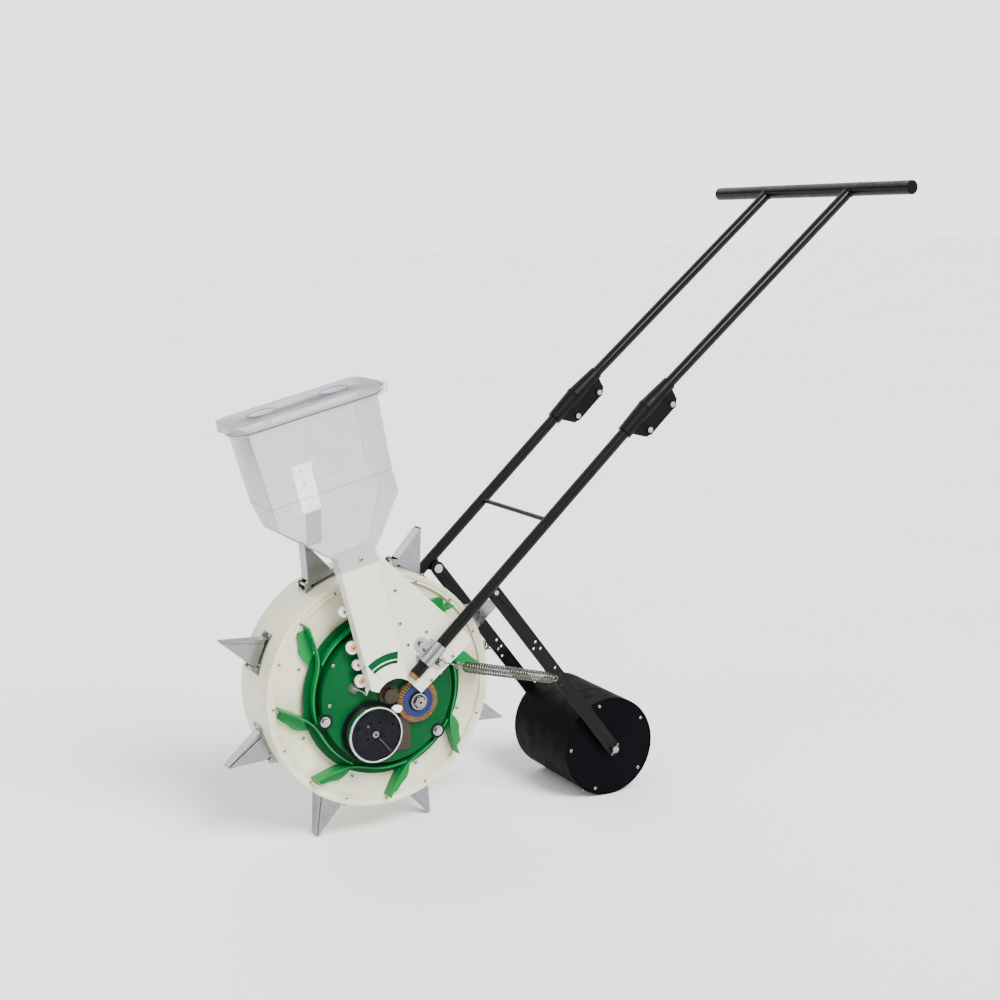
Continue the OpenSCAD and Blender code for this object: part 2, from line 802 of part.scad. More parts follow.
module drum_bearings() {
    color("silver") place() for (h = [[19, 29], [-61, -51]])
        turned() polygon([[8 + running, h[0]], [17.5, h[0]], [17.5, h[1]], [8 + running, h[1]]]);
}

// A seed guide curls in from the rim and then follows the dish
guide_in = 128;
guide_rise = 58;
guide_curl = 35;
guide_sweep = 60;
guide_root = 8.5;
guide_t = 1.3;
function guide_r(s) = guide_in + (s < guide_curl ? guide_rise * pow(1 - s / guide_curl, 4) : 0);
function guide_pt(s) = polar(guide_r(s), s);
function guide_side(s, w) =
    let (d = guide_pt(s + 0.2) - guide_pt(s - 0.2)) guide_pt(s) + w * [-d[1], d[0]] / norm(d);

// The wavy outer edge of the leaf beside each guide, for t from 0 to 1 along it
leaf_from = 3;
leaf_to = 19;
leaf_steps = 20;
function leaf_pt(t) =
    let (s = leaf_from + (leaf_to + 1.5 - leaf_from) * t)
    polar(guide_r(s) + 31 * sqrt(sin(180 * min(1, 0.04 + t))) + 3.5 * sin(720 * t - 60) * (1 - t), s);

module guide_strip(s0, s1, steps) {
    polygon(concat(
        [for (i = [0 : steps]) guide_side(s0 + (s1 - s0) * i / steps, guide_t)],
        [for (i = [steps : -1 : 0]) guide_side(s0 + (s1 - s0) * i / steps, -guide_t)]));
}

module seed_guides() {
    color("limegreen") place() for (a = beak_angles) at_angle(a - tip_angle) union() {
        slab(-84, -drum_half + 1) guide_strip(0.5, guide_root + 0.5, 6);
        slab(-84, -71) guide_strip(guide_root, guide_sweep, 24);
        slab(-65, -drum_half + 1) polygon(concat(
            [for (i = [0 : leaf_steps]) leaf_pt(i / leaf_steps)],
            [for (i = [leaf_steps : -1 : 0]) guide_pt(leaf_from + (leaf_to - leaf_from) * i / leaf_steps)]));
    }
}

// ---- beaks ---------------------------------------------------------------------------------

// In a beak's own frame X is radial and Z points to its leading side
saddle_r = drum_r + 2.5;
beak_half = 26;
fixed_y = 12;
moving_y = 14.2;
sheet_t = 1.5;
hinge_x = 207.5;
hinge_z = 27;
ear_r = 4.5;
pin_r = 1.5;

module beak_base() {
    difference() {
        intersection() {
            turned_band();
            translate([150, -18, -35]) cube([100, 36, 70]);
        }
        translate([150, -9, -11]) cube([100, 18, 22]);
    }
}

module turned_band() {
    slab(-18, 18) difference() {
        circle(saddle_r, $fn = 96);
        circle(drum_r, $fn = 96);
    }
}

// The trailing jaw: a strip with two cheeks, and the hinge lugs
module fixed_jaw() {
    difference() {
        union() {
            beak_base();
            slab(-fixed_y, fixed_y)
                polygon([[201.5, -beak_half + 0.5], [tip_r, 0], [tip_r - 7, -0.2], [201.5, -beak_half + 3]]);
            for (y = [-fixed_y, fixed_y - sheet_t]) slab(y, y + sheet_t)
                polygon([[201.5, -beak_half + 1], [tip_r - 4, -0.8], [250, 2.6], [202, 13.5]]);
            for (y = [-moving_y - 2.6, moving_y + 0.8]) slab(y, y + 1.8) union() {
                translate([hinge_x, hinge_z]) circle(ear_r);
                polygon([[200.5, 22], [hinge_x, hinge_z - ear_r], [hinge_x, hinge_z + ear_r], [199.5, 34]]);
            }
        }
        bar(pin_r, -20, 20, [hinge_x, hinge_z]);
        bar(drum_r, -30, 30);
    }
}

// The leading jaw: a strip with two wider cheeks that straddle the fixed jaw
module moving_jaw() {
    difference() {
        union() {
            slab(-moving_y, moving_y)
                polygon([[214, 22.2], [tip_r - 2.8, 1.6], [tip_r - 8, 1.4], [214, 20.2]]);
            for (y = [-moving_y, moving_y - sheet_t]) slab(y, y + sheet_t) union() {
                polygon([[hinge_x - 3, hinge_z + 1], [214, 22.2], [tip_r - 2.8, 1.6], [tip_r - 5, -0.5],
                    [204.2, -17], [204.2, 20]]);
                translate([hinge_x, hinge_z]) circle(4);
            }
        }
        bar(pin_r + running, -20, 20, [hinge_x, hinge_z]);
    }
}

module fixed_jaws() {
    color("silver") place() for (a = beak_angles) at_angle(a) fixed_jaw();
}

// Hinge pins, each with its return spring wound round it
module jaw_pins() {
    color("goldenrod") place() for (a = beak_angles) at_angle(a) union() {
        bar(pin_r, -18, 18, [hinge_x, hinge_z]);
        translate([hinge_x, 0, hinge_z]) rotate([90, 0, 0]) rotate_extrude($fn = 32)
            polygon([[0, -9], [2.4, -9], for (i = [-4 : 4], e = [-0.5, 0, 0.5]) [e == 0 ? 3 : 2.4, 2 * i + e],
                [2.4, 9], [0, 9]]);
    }
}

module jaw(k) {
    color("silver") place() at_angle(beak_angles[k - 1]) moving_jaw();
}

// Band screws, floor screws and the screws of the beak bases
band_screw_r = 189.2;

module drum_screws() {
    color("silver") place() union() {
        for (a = [beak_start : pitch / 2 : beak_start + 359])
            bar(2.6, -side_h - 1.6, -side_h, polar(band_screw_r, a + 1));
        for (a = beak_angles) bar(3.2, -drum_half - 1, -drum_half + 1, polar(152, a + 1));
        for (a = [beak_start : pitch / 2 : beak_start + 359])
            bar(2.6, side_h, side_h + 1.6, polar(193, a));
        for (a = beak_angles, y = [-11.5, 11.5], t = [-9, 9])
            at_angle(a + t) translate([saddle_r, y, 0]) rotate([0, 90, 0]) cylinder(h = 2, r = 2.8);
    }
}

// ---- press roller --------------------------------------------------------------------------

arm_angle = atan2(roller_at[1] - pivot_at[1], roller_at[0] - pivot_at[0]);
arm_len = dist(pivot_at, roller_at);
arm_w = 12.5;
arm_holes = [[126, 5], [133, -5], [142, 5], [190, 5], [206, 5], [206, -3], [222, -5]];
axle_r = 6;

module arm() {
    color("black") place() slab(arm_y0, arm_y1) translate(pivot_at) rotate(arm_angle) difference() {
        union() {
            translate([0, -arm_w]) square([arm_len, 2 * arm_w]);
            circle(arm_w);
            translate([arm_len, 0]) circle(arm_w);
        }
        circle(4);
        translate([arm_len, 0]) circle(axle_r);
        for (h = arm_holes) translate(h) circle(2.6);
    }
}

module roller_axle() {
    color("silver") place() union() {
        bar(axle_r, -117, 117, roller_at);
        for (side = [-1, 1]) translate([roller_at[0], side * 114, roller_at[1]])
            rotate([0, 35, 0]) translate([0, 0, -12]) cylinder(h = 24, r = 1.2);
    }
}

module roller_shell() {
    color("black") place() turned(roller_at) polygon([[roller_r - 3, -roller_half], [roller_r, -roller_half],
        [roller_r, roller_half], [roller_r - 3, roller_half]]);
}

module roller_caps() {
    color("black") place() both_hands()
        mirror([0, 1, 0]) difference() {
            turned(roller_at) polygon([[axle_r + running, roller_half - 14], [14, roller_half - 14],
                [14, roller_half - 4], [roller_r - 3, roller_half - 4], [roller_r - 3, roller_half - 1],
                [16, roller_half - 1], [14, roller_half + 2], [axle_r + running, roller_half + 2]]);
        }
}

// Cap screws, and the plug of the roller's water filler
module roller_screws() {
    color("silver") place() union() {
        both_hands() for (k = [0 : 4])
            bar(3, -roller_half - 0.8, -roller_half + 1, roller_at + polar(79, 32 + 72 * k));
        translate([roller_at[0], -roller_half + 8, roller_at[1]]) at_angle(-124) rotate([0, 90, 0])
            translate([0, 0, roller_r]) cylinder(h = 2.5, r = 4);
    }
}

// ---- springs -------------------------------------------------------------------------------

// Each spring runs from the lower clamp bolt to a hole in the arm
spring_a = clamp_holes[1];
spring_b = along(pivot_at, arm_angle, 206, -3);
spring_ya = hook_y;
spring_yb = -122.5;
coil_r = 10;
wire_r = 1.1;
hook_a = 42;
hook_b = 22;

module spring() {
    a = [spring_a[0], spring_ya, spring_a[1]];
    b = [spring_b[0], spring_yb, spring_b[1]];
    d = b - a;
    len = norm(d);
    color("silver") place() translate(a) rotate([0, acos(d[2] / len), atan2(d[1], d[0])]) {
        translate([0, 0, hook_a]) difference() {
            cylinder(h = len - hook_a - hook_b, r = coil_r);
            translate([0, 0, 3]) cylinder(h = len - hook_a - hook_b - 6, r = coil_r - 2 * wire_r);
        }
        translate([0, 0, 9]) cylinder(h = hook_a - 9, r = wire_r);
        translate([0, 0, len - hook_b]) cylinder(h = hook_b - 6, r = wire_r);
    }
}

// ---- nodes ---------------------------------------------------------------------------------

lower_tube();  // lower_tube_left
right_hand() lower_tube();  // lower_tube_right
upper_tube();  // upper_tube_left
right_hand() upper_tube();  // upper_tube_right
cross_brace();
coupler();  // coupler_left
right_hand() coupler();  // coupler_right
handlebar();
end_plugs();
frame_bolts();
tube_clamp();  // tube_clamp_left
right_hand() tube_clamp();  // tube_clamp_right
side_plate_left();
side_plate_right();
chute_front();
chute_back();
casing_screws();
main_axle();
axle_nut();
hopper();
lid_hinge();
gate_bracket();
gate_slide();
seed_dish();
dish_bolts();
metering_ring();
metering_cover();
seed_chamber();
hub_bush();
drum_shell();
drum_side_left();
drum_side_right();
seed_guides();
ring_gear();
drum_bearings();
drum_screws();
fixed_jaws();
jaw_pins();
jaw(1);  // moving_jaw_1
jaw(2);  // moving_jaw_2
jaw(3);  // moving_jaw_3
jaw(4);  // moving_jaw_4
jaw(5);  // moving_jaw_5
jaw(6);  // moving_jaw_6
jaw(7);  // moving_jaw_7
jaw(8);  // moving_jaw_8
seed_plate();
seed_pinion();
brush_hub();
brush_bristles();
brush_shaft();
hopper_lid();
arm();  // arm_left
right_hand() arm();  // arm_right
roller_axle();
roller_shell();
roller_caps();
roller_screws();
spring();  // spring_left
right_hand() spring();  // spring_right
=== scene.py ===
import json
import math
import random

import bpy
from mathutils import Matrix, Vector


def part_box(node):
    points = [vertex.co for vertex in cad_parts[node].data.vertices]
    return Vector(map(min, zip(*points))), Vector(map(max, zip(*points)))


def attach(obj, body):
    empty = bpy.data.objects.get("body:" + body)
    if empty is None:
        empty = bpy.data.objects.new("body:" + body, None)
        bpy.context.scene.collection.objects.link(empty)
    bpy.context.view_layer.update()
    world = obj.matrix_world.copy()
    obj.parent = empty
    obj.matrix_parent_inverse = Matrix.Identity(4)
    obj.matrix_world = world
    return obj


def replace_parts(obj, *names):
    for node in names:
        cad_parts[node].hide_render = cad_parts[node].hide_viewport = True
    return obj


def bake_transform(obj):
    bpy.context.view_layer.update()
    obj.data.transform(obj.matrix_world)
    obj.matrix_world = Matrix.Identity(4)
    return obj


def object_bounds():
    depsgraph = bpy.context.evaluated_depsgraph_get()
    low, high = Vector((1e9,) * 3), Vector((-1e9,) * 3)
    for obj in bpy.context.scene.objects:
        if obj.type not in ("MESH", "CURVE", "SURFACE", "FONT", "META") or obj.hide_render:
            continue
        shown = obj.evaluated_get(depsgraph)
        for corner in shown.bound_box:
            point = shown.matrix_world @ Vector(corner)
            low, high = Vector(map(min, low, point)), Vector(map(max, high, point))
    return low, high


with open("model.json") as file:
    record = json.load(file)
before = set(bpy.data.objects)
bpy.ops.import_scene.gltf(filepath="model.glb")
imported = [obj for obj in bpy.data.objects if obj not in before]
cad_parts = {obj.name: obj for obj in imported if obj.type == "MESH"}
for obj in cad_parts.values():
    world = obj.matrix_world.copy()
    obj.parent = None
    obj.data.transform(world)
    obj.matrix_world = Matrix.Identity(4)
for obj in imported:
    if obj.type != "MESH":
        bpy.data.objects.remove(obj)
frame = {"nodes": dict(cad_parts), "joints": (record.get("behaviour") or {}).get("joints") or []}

cad_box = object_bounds()
random.seed(7)

MM = 0.001
ACROSS = Vector((0, 1, 0))
TOWARDS_US = -ACROSS
HOPPER_LEAN = math.radians(12.7)


def middle(node):
    low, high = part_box(node)
    return (low + high) / 2


def joint_at(name):
    return Vector(next(j["pos_m"] for j in frame["joints"] if j["name"] == name))


AXLE = middle("drum_shell")


def spot(x, y, z):
    """A point in millimetres from the drum's centre."""
    return AXLE + Vector((x, y, z)) * MM


def leaning(u, y, v):
    """A point in the hopper's leaning frame, in millimetres: u along the hopper, v up it."""
    c, s = math.cos(HOPPER_LEAN), math.sin(HOPPER_LEAN)
    return spot(u * c - v * s, y, u * s + v * c)


# ---- materials -------------------------------------------------------------------------------


class Shader:
    """A material and the node tree that feeds its Principled shader."""

    def __init__(self, name):
        self.material = bpy.data.materials.new(name)
        self.material.use_nodes = True
        self.tree = self.material.node_tree
        self.bsdf = next(n for n in self.tree.nodes if n.type == "BSDF_PRINCIPLED")
        self.place = self.tree.nodes.new("ShaderNodeTexCoord").outputs["Object"]

    def link(self, source, target):
        self.tree.links.new(source, target)

    def set(self, **values):
        for name, value in values.items():
            self.bsdf.inputs[name.replace("_", " ")].default_value = value

    def stretched(self, x, y, z):
        node = self.tree.nodes.new("ShaderNodeMapping")
        node.inputs["Scale"].default_value = (x, y, z)
        self.link(self.place, node.inputs["Vector"])
        return node.outputs["Vector"]

    def noise(self, scale, detail=2.0, roughness=0.5, distortion=0.0, place=None):
        node = self.tree.nodes.new("ShaderNodeTexNoise")
        node.inputs["Scale"].default_value = scale
        node.inputs["Detail"].default_value = detail
        node.inputs["Roughness"].default_value = roughness
        node.inputs["Distortion"].default_value = distortion
        self.link(place or self.place, node.inputs["Vector"])
        return node.outputs["Fac"]

    def cells(self, scale):
        node = self.tree.nodes.new("ShaderNodeTexVoronoi")
        node.inputs["Scale"].default_value = scale
        self.link(self.place, node.inputs["Vector"])
        return node.outputs

    def facing(self, blend):
        node = self.tree.nodes.new("ShaderNodeLayerWeight")
        node.inputs["Blend"].default_value = blend
        return node.outputs["Facing"]

    def ramp(self, value, *stops):
        """Stops are (position, colour or grey)."""
        node = self.tree.nodes.new("ShaderNodeValToRGB")
        elements = node.color_ramp.elements
        while len(elements) < len(stops):
            elements.new(0.5)
        for element, (position, colour) in zip(elements, stops):
            element.position = position
            grey = isinstance(colour, (int, float))
            element.color = (colour, colour, colour, 1) if grey else (*colour, 1)
        self.link(value, node.inputs["Fac"])
        return node.outputs["Color"]

    def mix(self, factor, a, b):
        node = self.tree.nodes.new("ShaderNodeMix")
        node.data_type = "RGBA"
        for socket, value in ((node.inputs[0], factor), (node.inputs[6], a), (node.inputs[7], b)):
            if isinstance(value, (int, float)):
                socket.default_value = value
            elif isinstance(value, tuple):
                socket.default_value = (*value, 1)
            else:
                self.link(value, socket)
        return node.outputs[2]

    def bump(self, height, strength, distance=0.0004, under=None):
        node = self.tree.nodes.new("ShaderNodeBump")
        node.inputs["Strength"].default_value = strength
        node.inputs["Distance"].default_value = distance
        self.link(height, node.inputs["Height"])
        if under:
            self.link(under, node.inputs["Normal"])
        self.link(node.outputs["Normal"], self.bsdf.inputs["Normal"])
        return node.outputs["Normal"]


def shade(colour, factor):
    return tuple(min(1.0, c * factor) for c in colour)


def moulded_plastic(name, colour, tint, roughness, grain=1400, dent=0.12, **values):
    """Injection-moulded plastic: cloudy colour, faint flow lines and a fine skin."""
    s = Shader(name)
    cloud = s.ramp(s.noise(11, 3, 0.55), (0.3, colour), (0.72, tint))
    flow = s.noise(26, 4, 0.6, 1.2, s.stretched(1, 1, 5))
    lines = s.ramp(flow, (0.35, 0.0), (0.8, 0.35))
    s.link(s.mix(lines, cloud, shade(tint, 0.94)), s.bsdf.inputs["Base Color"])
    rubbed = s.ramp(s.noise(45, 5, 0.65), (0.3, roughness * 0.8), (0.7, min(1, roughness * 1.35)))
    s.link(rubbed, s.bsdf.inputs["Roughness"])
    broad = s.bump(s.noise(38, 2), dent, 0.0006)
    s.bump(s.noise(grain, 2), dent, 0.00012, broad)
    s.set(**values)
    return s.material


def drum_plastic(name, colour, tint, olive_shade_and_grime):
    """The drum's ivory plastic, with olive patches at random as painted shade and painted green light
    through the shell, and fine darker grime.
    """
    s = Shader(name)
    cloud = s.ramp(s.noise(9, 3, 0.55), (0.3, colour), (0.72, tint))
    # Olive patches: painted shade and painted green light through the shell.
    painted_shade_patch = s.ramp(s.noise(17, 6, 0.68, 0.8), (0.5, 0.0), (0.74, 0.5))
    grime = s.ramp(s.noise(130, 5, 0.7), (0.6, 0.0), (0.85, 0.3))
    s.link(s.mix(grime, s.mix(painted_shade_patch, cloud, olive_shade_and_grime), shade(olive_shade_and_grime, 0.7)), s.bsdf.inputs["Base Color"])
    s.link(s.ramp(s.noise(45, 5, 0.65), (0.3, 0.28), (0.7, 0.5)), s.bsdf.inputs["Roughness"])
    broad = s.bump(s.noise(38, 2), 0.16, 0.0006)
    s.bump(s.noise(1100, 2), 0.14, 0.00012, broad)
    return s.material


def powder_coat(name, colour, roughness):
    """Black powder coat: orange-peel skin, dust and thin rubbed streaks."""
    s = Shader(name)
    dust = s.ramp(s.noise(60, 5, 0.7), (0.45, colour), (0.78, shade(colour, 2.0)))
    streak = s.ramp(s.noise(30, 6, 0.6, 0.5, s.stretched(9, 9, 1)), (0.62, 0.0), (0.8, 0.5))
    s.link(s.mix(streak, dust, shade(colour, 2.6)), s.bsdf.inputs["Base Color"])
    worn = s.ramp(s.noise(80, 4), (0.3, roughness * 0.8), (0.75, roughness * 1.4))
    s.link(worn, s.bsdf.inputs["Roughness"])
    peel = s.bump(s.noise(620, 2, 0.6), 0.22, 0.0003)
    s.bump(s.cells(1500)["Distance"], 0.08, 0.0001, peel)
    s.set(Specular_IOR_Level=0.08, Coat_Weight=0.14, Coat_Roughness=0.1)
    return s.material


def galvanised(name, colour):
    """Hot-dipped sheet with its spangle, and dull rub marks."""
    s = Shader(name)
    spangle = s.cells(150)
    grain = s.noise(150, 0, 0.5, 0, spangle["Color"])
    tone = s.ramp(grain, (0.3, shade(colour, 0.9)), (0.7, shade(colour, 1.06)))
    rub = s.ramp(s.noise(24, 6, 0.7, 0.6), (0.42, 0.0), (0.75, 0.6))
    s.link(s.mix(rub, tone, shade(colour, 0.9)), s.bsdf.inputs["Base Color"])
    s.link(s.ramp(spangle["Distance"], (0.0, 0.14), (0.8, 0.24)), s.bsdf.inputs["Roughness"])
    s.bump(s.noise(420, 4, 0.6), 0.1, 0.0002)
    s.set(Metallic=1.0)
    return s.material


def bare_metal(name, colour, low, high, streaks=(1, 40, 1)):
    """Plated or turned metal with fine tool lines and smudges."""
    s = Shader(name)
    smudge = s.noise(70, 5, 0.65, 0.4)
    s.link(s.ramp(smudge, (0.3, shade(colour, 0.84)), (0.75, colour)), s.bsdf.inputs["Base Color"])
    lines = s.noise(320, 3, 0.6, 0, s.stretched(*streaks))
    s.link(s.ramp(lines, (0.3, low), (0.7, high)), s.bsdf.inputs["Roughness"])
    s.bump(lines, 0.08, 0.0001)
    s.set(Metallic=1.0)
    return s.material


def clear_plastic(name, colour, edge, alpha, roughness, rim_alpha=0.9):
    """Thin translucent moulding: a milky veil, dark and dense where the wall is seen edge-on."""
    s = Shader(name)
    cloud = s.ramp(s.noise(14, 4, 0.6, 0.6), (0.3, shade(colour, 0.92)), (0.75, colour))
    rim = s.ramp(s.facing(0.3), (0.35, 0.0), (0.9, 1.0))
    s.link(s.mix(rim, cloud, edge), s.bsdf.inputs["Base Color"])
    veil = s.ramp(s.noise(22, 4, 0.6), (0.3, alpha * 0.85), (0.75, alpha * 1.15))
    s.link(s.mix(rim, veil, (rim_alpha, rim_alpha, rim_alpha)), s.bsdf.inputs["Alpha"])
    worn = s.ramp(s.noise(50, 4), (0.3, roughness * 0.7), (0.7, roughness * 1.4))
    s.link(worn, s.bsdf.inputs["Roughness"])
    s.bump(s.noise(34, 3), 0.12, 0.0008)
    s.set(Specular_IOR_Level=0.35)
    return s.material


def bristle_fibre(name, dark, light):
    """Brown fibre, some of it darker, with a fine grain along it."""
    s = Shader(name)
    s.link(s.ramp(s.noise(260, 3, 0.6), (0.3, dark), (0.72, light)), s.bsdf.inputs["Base Color"])
    s.link(s.ramp(s.noise(600, 2), (0.3, 0.45), (0.7, 0.7)), s.bsdf.inputs["Roughness"])
    s.bump(s.noise(1800, 2, 0.5, 0, s.stretched(1, 0.2, 1)), 0.3, 0.0001)
    return s.material


BLACK = powder_coat("black_powder_coat", (0.0016, 0.0016, 0.0017), 0.42)
CAST_BLACK = moulded_plastic("black_coupler", (0.0014, 0.0014, 0.0015), (0.0026, 0.0026, 0.0028), 0.4,
                             Specular_IOR_Level=0.1)
ROLLER = moulded_plastic("black_roller", (0.0012, 0.0012, 0.002), (0.0022, 0.0022, 0.0034), 0.5, 700,
                         0.1, Specular_IOR_Level=0.03)
DISC_BLACK = moulded_plastic("black_seed_plate", (0.0015, 0.0015, 0.0025), (0.003, 0.003, 0.005), 0.4,
                             Specular_IOR_Level=0.07)
# Near-black: the bearing's real black seal, and painted shade filling screw recesses, the bearing's gap
# and the shaft's drilled centre.
BLACK_SEAL_AND_SHADE = moulded_plastic("black_seal_and_recess_shade", (0.004, 0.004, 0.004), (0.008, 0.008, 0.008), 0.6,
                       Specular_IOR_Level=0.1)
# The third colour is the olive of the painted shade patches, and of the grime.
IVORY = drum_plastic("ivory_drum", (0.69, 0.665, 0.51), (0.60, 0.58, 0.40), (0.34, 0.37, 0.15))
PLATE = moulded_plastic("white_plate", (0.69, 0.665, 0.55), (0.63, 0.605, 0.48), 0.34)
CHUTE = moulded_plastic("cream_chute", (0.72, 0.695, 0.61), (0.66, 0.635, 0.54), 0.2, 900, 0.08,
                        Coat_Weight=0.3)
# Dark opaque lines on the clear hopper's rims, crease and corners: painted shade where the clear edges
# look dark.
LILAC_EDGE_SHADE = moulded_plastic("clear_edge_painted_shade", (0.13, 0.12, 0.15), (0.17, 0.155, 0.19), 0.3,
                        Specular_IOR_Level=0.3)
# The bracket's white emission is a painted glow, standing in for the light that reaches it through the
# clear hopper.
GLOWING_WHITE = moulded_plastic("white_bracket_painted_glow", (0.88, 0.88, 0.87), (0.84, 0.84, 0.82), 0.4,
                         Emission_Color=(1, 1, 1, 1), Emission_Strength=2.0)
WHITE = moulded_plastic("white_nylon", (0.86, 0.86, 0.84), (0.80, 0.80, 0.77), 0.35)
GREY = moulded_plastic("grey_duct", (0.20, 0.19, 0.175), (0.26, 0.25, 0.23), 0.4)
KNOB = moulded_plastic("dark_knob", (0.03, 0.045, 0.035), (0.06, 0.075, 0.06), 0.3)
GREEN = moulded_plastic("green_dish", (0.0, 0.045, 0.009), (0.0, 0.068, 0.016), 0.3, 900, 0.12,
                        Specular_IOR_Level=0.1)
# Near-black green rings round the dish's bolts: painted shadow.
BOLT_SHADOW = moulded_plastic("bolt_shadow_rings", (0.0, 0.012, 0.004), (0.0, 0.02, 0.007), 0.4,
                       Specular_IOR_Level=0.08)
LEAF_GREEN = moulded_plastic("green_guides", (0.0, 0.135, 0.024), (0.0, 0.19, 0.042), 0.3, 900, 0.14,
                             Specular_IOR_Level=0.2)
SMOKE = moulded_plastic("smoky_brown", (0.022, 0.016, 0.010), (0.045, 0.034, 0.022), 0.3, 900, 0.12,
                        Alpha=0.9, Specular_IOR_Level=0.25)
BLUE = moulded_plastic("blue_hub", (0.009, 0.015, 0.075), (0.014, 0.024, 0.105), 0.35,
                       Specular_IOR_Level=0.2)
TAN = moulded_plastic("tan_plug", (0.15, 0.08, 0.018), (0.22, 0.125, 0.035), 0.5,
                      Specular_IOR_Level=0.15)
GALVANISED = galvanised("galvanised_sheet", (0.26, 0.27, 0.28))
ZINC = bare_metal("bright_zinc", (0.42, 0.425, 0.43), 0.14, 0.28)
STEEL = bare_metal("turned_steel", (0.30, 0.30, 0.31), 0.2, 0.4, (1, 60, 1))
CHROME = bare_metal("chromed_ring", (0.60, 0.61, 0.62), 0.1, 0.2)
WIRE = bare_metal("spring_wire", (0.17, 0.16, 0.14), 0.2, 0.32, (1, 1, 1))
BRASS = bare_metal("yellow_zinc", (0.68, 0.46, 0.17), 0.22, 0.4)
CLEAR = clear_plastic("clear_hopper", (0.47, 0.465, 0.49), (0.09, 0.08, 0.11), 0.29, 0.16)
CLEAR_LID = clear_plastic("clear_lid", (0.40, 0.38, 0.43), (0.09, 0.08, 0.11), 0.3, 0.2)
WINDOW = clear_plastic("clear_cover", (0.03, 0.03, 0.04), (0.1, 0.1, 0.11), 0.05, 0.08, 0.1)
FIBRE = bristle_fibre("brown_bristle", (0.075, 0.030, 0.009), (0.34, 0.17, 0.06))


# ---- mesh tools ------------------------------------------------------------------------------


def piece(name, verts, faces, body, material, slot, sharp=38):
    """A visual mesh that rides on a body, smooth except at edges sharper than sharp degrees."""
    mesh = bpy.data.meshes.new(name)
    mesh.from_pydata([tuple(v) for v in verts], [], faces)
    mesh.validate()
    mesh.shade_smooth()
    mesh.set_sharp_from_angle(angle=math.radians(sharp))
    mesh.materials.append(material)
    obj = bpy.data.objects.new(name, mesh)
    bpy.context.scene.collection.objects.link(obj)
    if body:
        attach(obj, body)
    return obj


def joined(*parts):
    """Several (verts, faces) as one."""
    verts, faces = [], []
    for some_verts, some_faces in parts:
        base = len(verts)
        verts += some_verts
        faces += [tuple(base + i for i in f) for f in some_faces]
    return verts, faces


def sweep(path, radius, sides=10, closed=False):
    """A round wire along a path. radius is a number, or a function of the way along, from 0 to 1."""
    path = [Vector(p) for p in path]
    count = len(path)
    size = radius if callable(radius) else (lambda t: radius)
    tangents = []
    for i in range(count):
        before = path[i - 1] if i or closed else path[0]
        after = path[(i + 1) % count] if i < count - 1 or closed else path[-1]
        tangents.append((after - before).normalized())
    side = tangents[0].orthogonal().normalized()
    verts, faces = [], []
    for i, (p, t) in enumerate(zip(path, tangents)):
        side = (side - t * side.dot(t)).normalized()
        other = t.cross(side)
        r = size(i / max(1, count - 1))
        for k in range(sides):
            a = 2 * math.pi * k / sides
            verts.append(p + r * (math.cos(a) * side + math.sin(a) * other))
    for i in range(count if closed else count - 1):
        j = (i + 1) % count
        for k in range(sides):
            n = (k + 1) % sides
            faces.append((i * sides + k, i * sides + n, j * sides + n, j * sides + k))
    if not closed:
        faces.append(tuple(range(sides - 1, -1, -1)))
        faces.append(tuple((count - 1) * sides + k for k in range(sides)))
    return verts, faces


def turned(profile, at, axis=ACROSS, sides=48, wave=None):
    """A shape turned about axis through at. profile is (radius, height along axis) in metres."""
    axis = Vector(axis).normalized()
    one = axis.orthogonal().normalized()
    two = axis.cross(one)
    verts, faces = [], []
    for k in range(sides):
        a = 2 * math.pi * k / sides
        out = math.cos(a) * one + math.sin(a) * two
        for j, (r, h) in enumerate(profile):
            lift = wave(j, k) if wave else 0
            verts.append(at + out * r + axis * (h + lift))
    n = len(profile)
    for k in range(sides):
        m = (k + 1) % sides
        for j in range(n - 1):
            faces.append((k * n + j, m * n + j, m * n + j + 1, k * n + j + 1))
    if profile[0][0] > 1e-6:
        faces.append(tuple(k * n for k in range(sides - 1, -1, -1)))
    if profile[-1][0] > 1e-6:
        faces.append(tuple(k * n + n - 1 for k in range(sides)))
    return verts, faces


def islands(node):
    """The separate solids of a CAD node, each as its list of points."""
    mesh = frame["nodes"][node].data
    keys = {}
    root = list(range(len(mesh.vertices)))

    def find(i):
        while root[i] != i:
            root[i] = root[root[i]]
            i = root[i]
        return i

    for v in mesh.vertices:
        key = tuple(round(c, 6) for c in v.co)
        if key in keys:
            root[find(v.index)] = find(keys[key])
        else:
            keys[key] = v.index
    for e in mesh.edges:
        root[find(e.vertices[0])] = find(e.vertices[1])
    groups = {}
    for v in mesh.vertices:
        groups.setdefault(find(v.index), []).append(v.co.copy())
    return list(groups.values())


def screw_head(at, axis, radius, height):
    """A pan head with a cross recess, whose seat is at and whose top faces along axis."""
    rings = (0.0, 0.22, 0.5, 0.62, 0.8, 0.93, 1.0, 1.0)
    heights = (1.0, 1.0, 0.98, 0.95, 0.84, 0.64, 0.4, 0.0)
    profile = [(max(r, 1e-7) * radius, h * height) for r, h in zip(rings, heights)]

    def cross(j, k):
        arm = k % 8 in (0, 1, 7)
        return -0.55 * height if j == 0 or (j <= 2 and arm) else 0

    return turned(profile, at, axis, 32, cross)


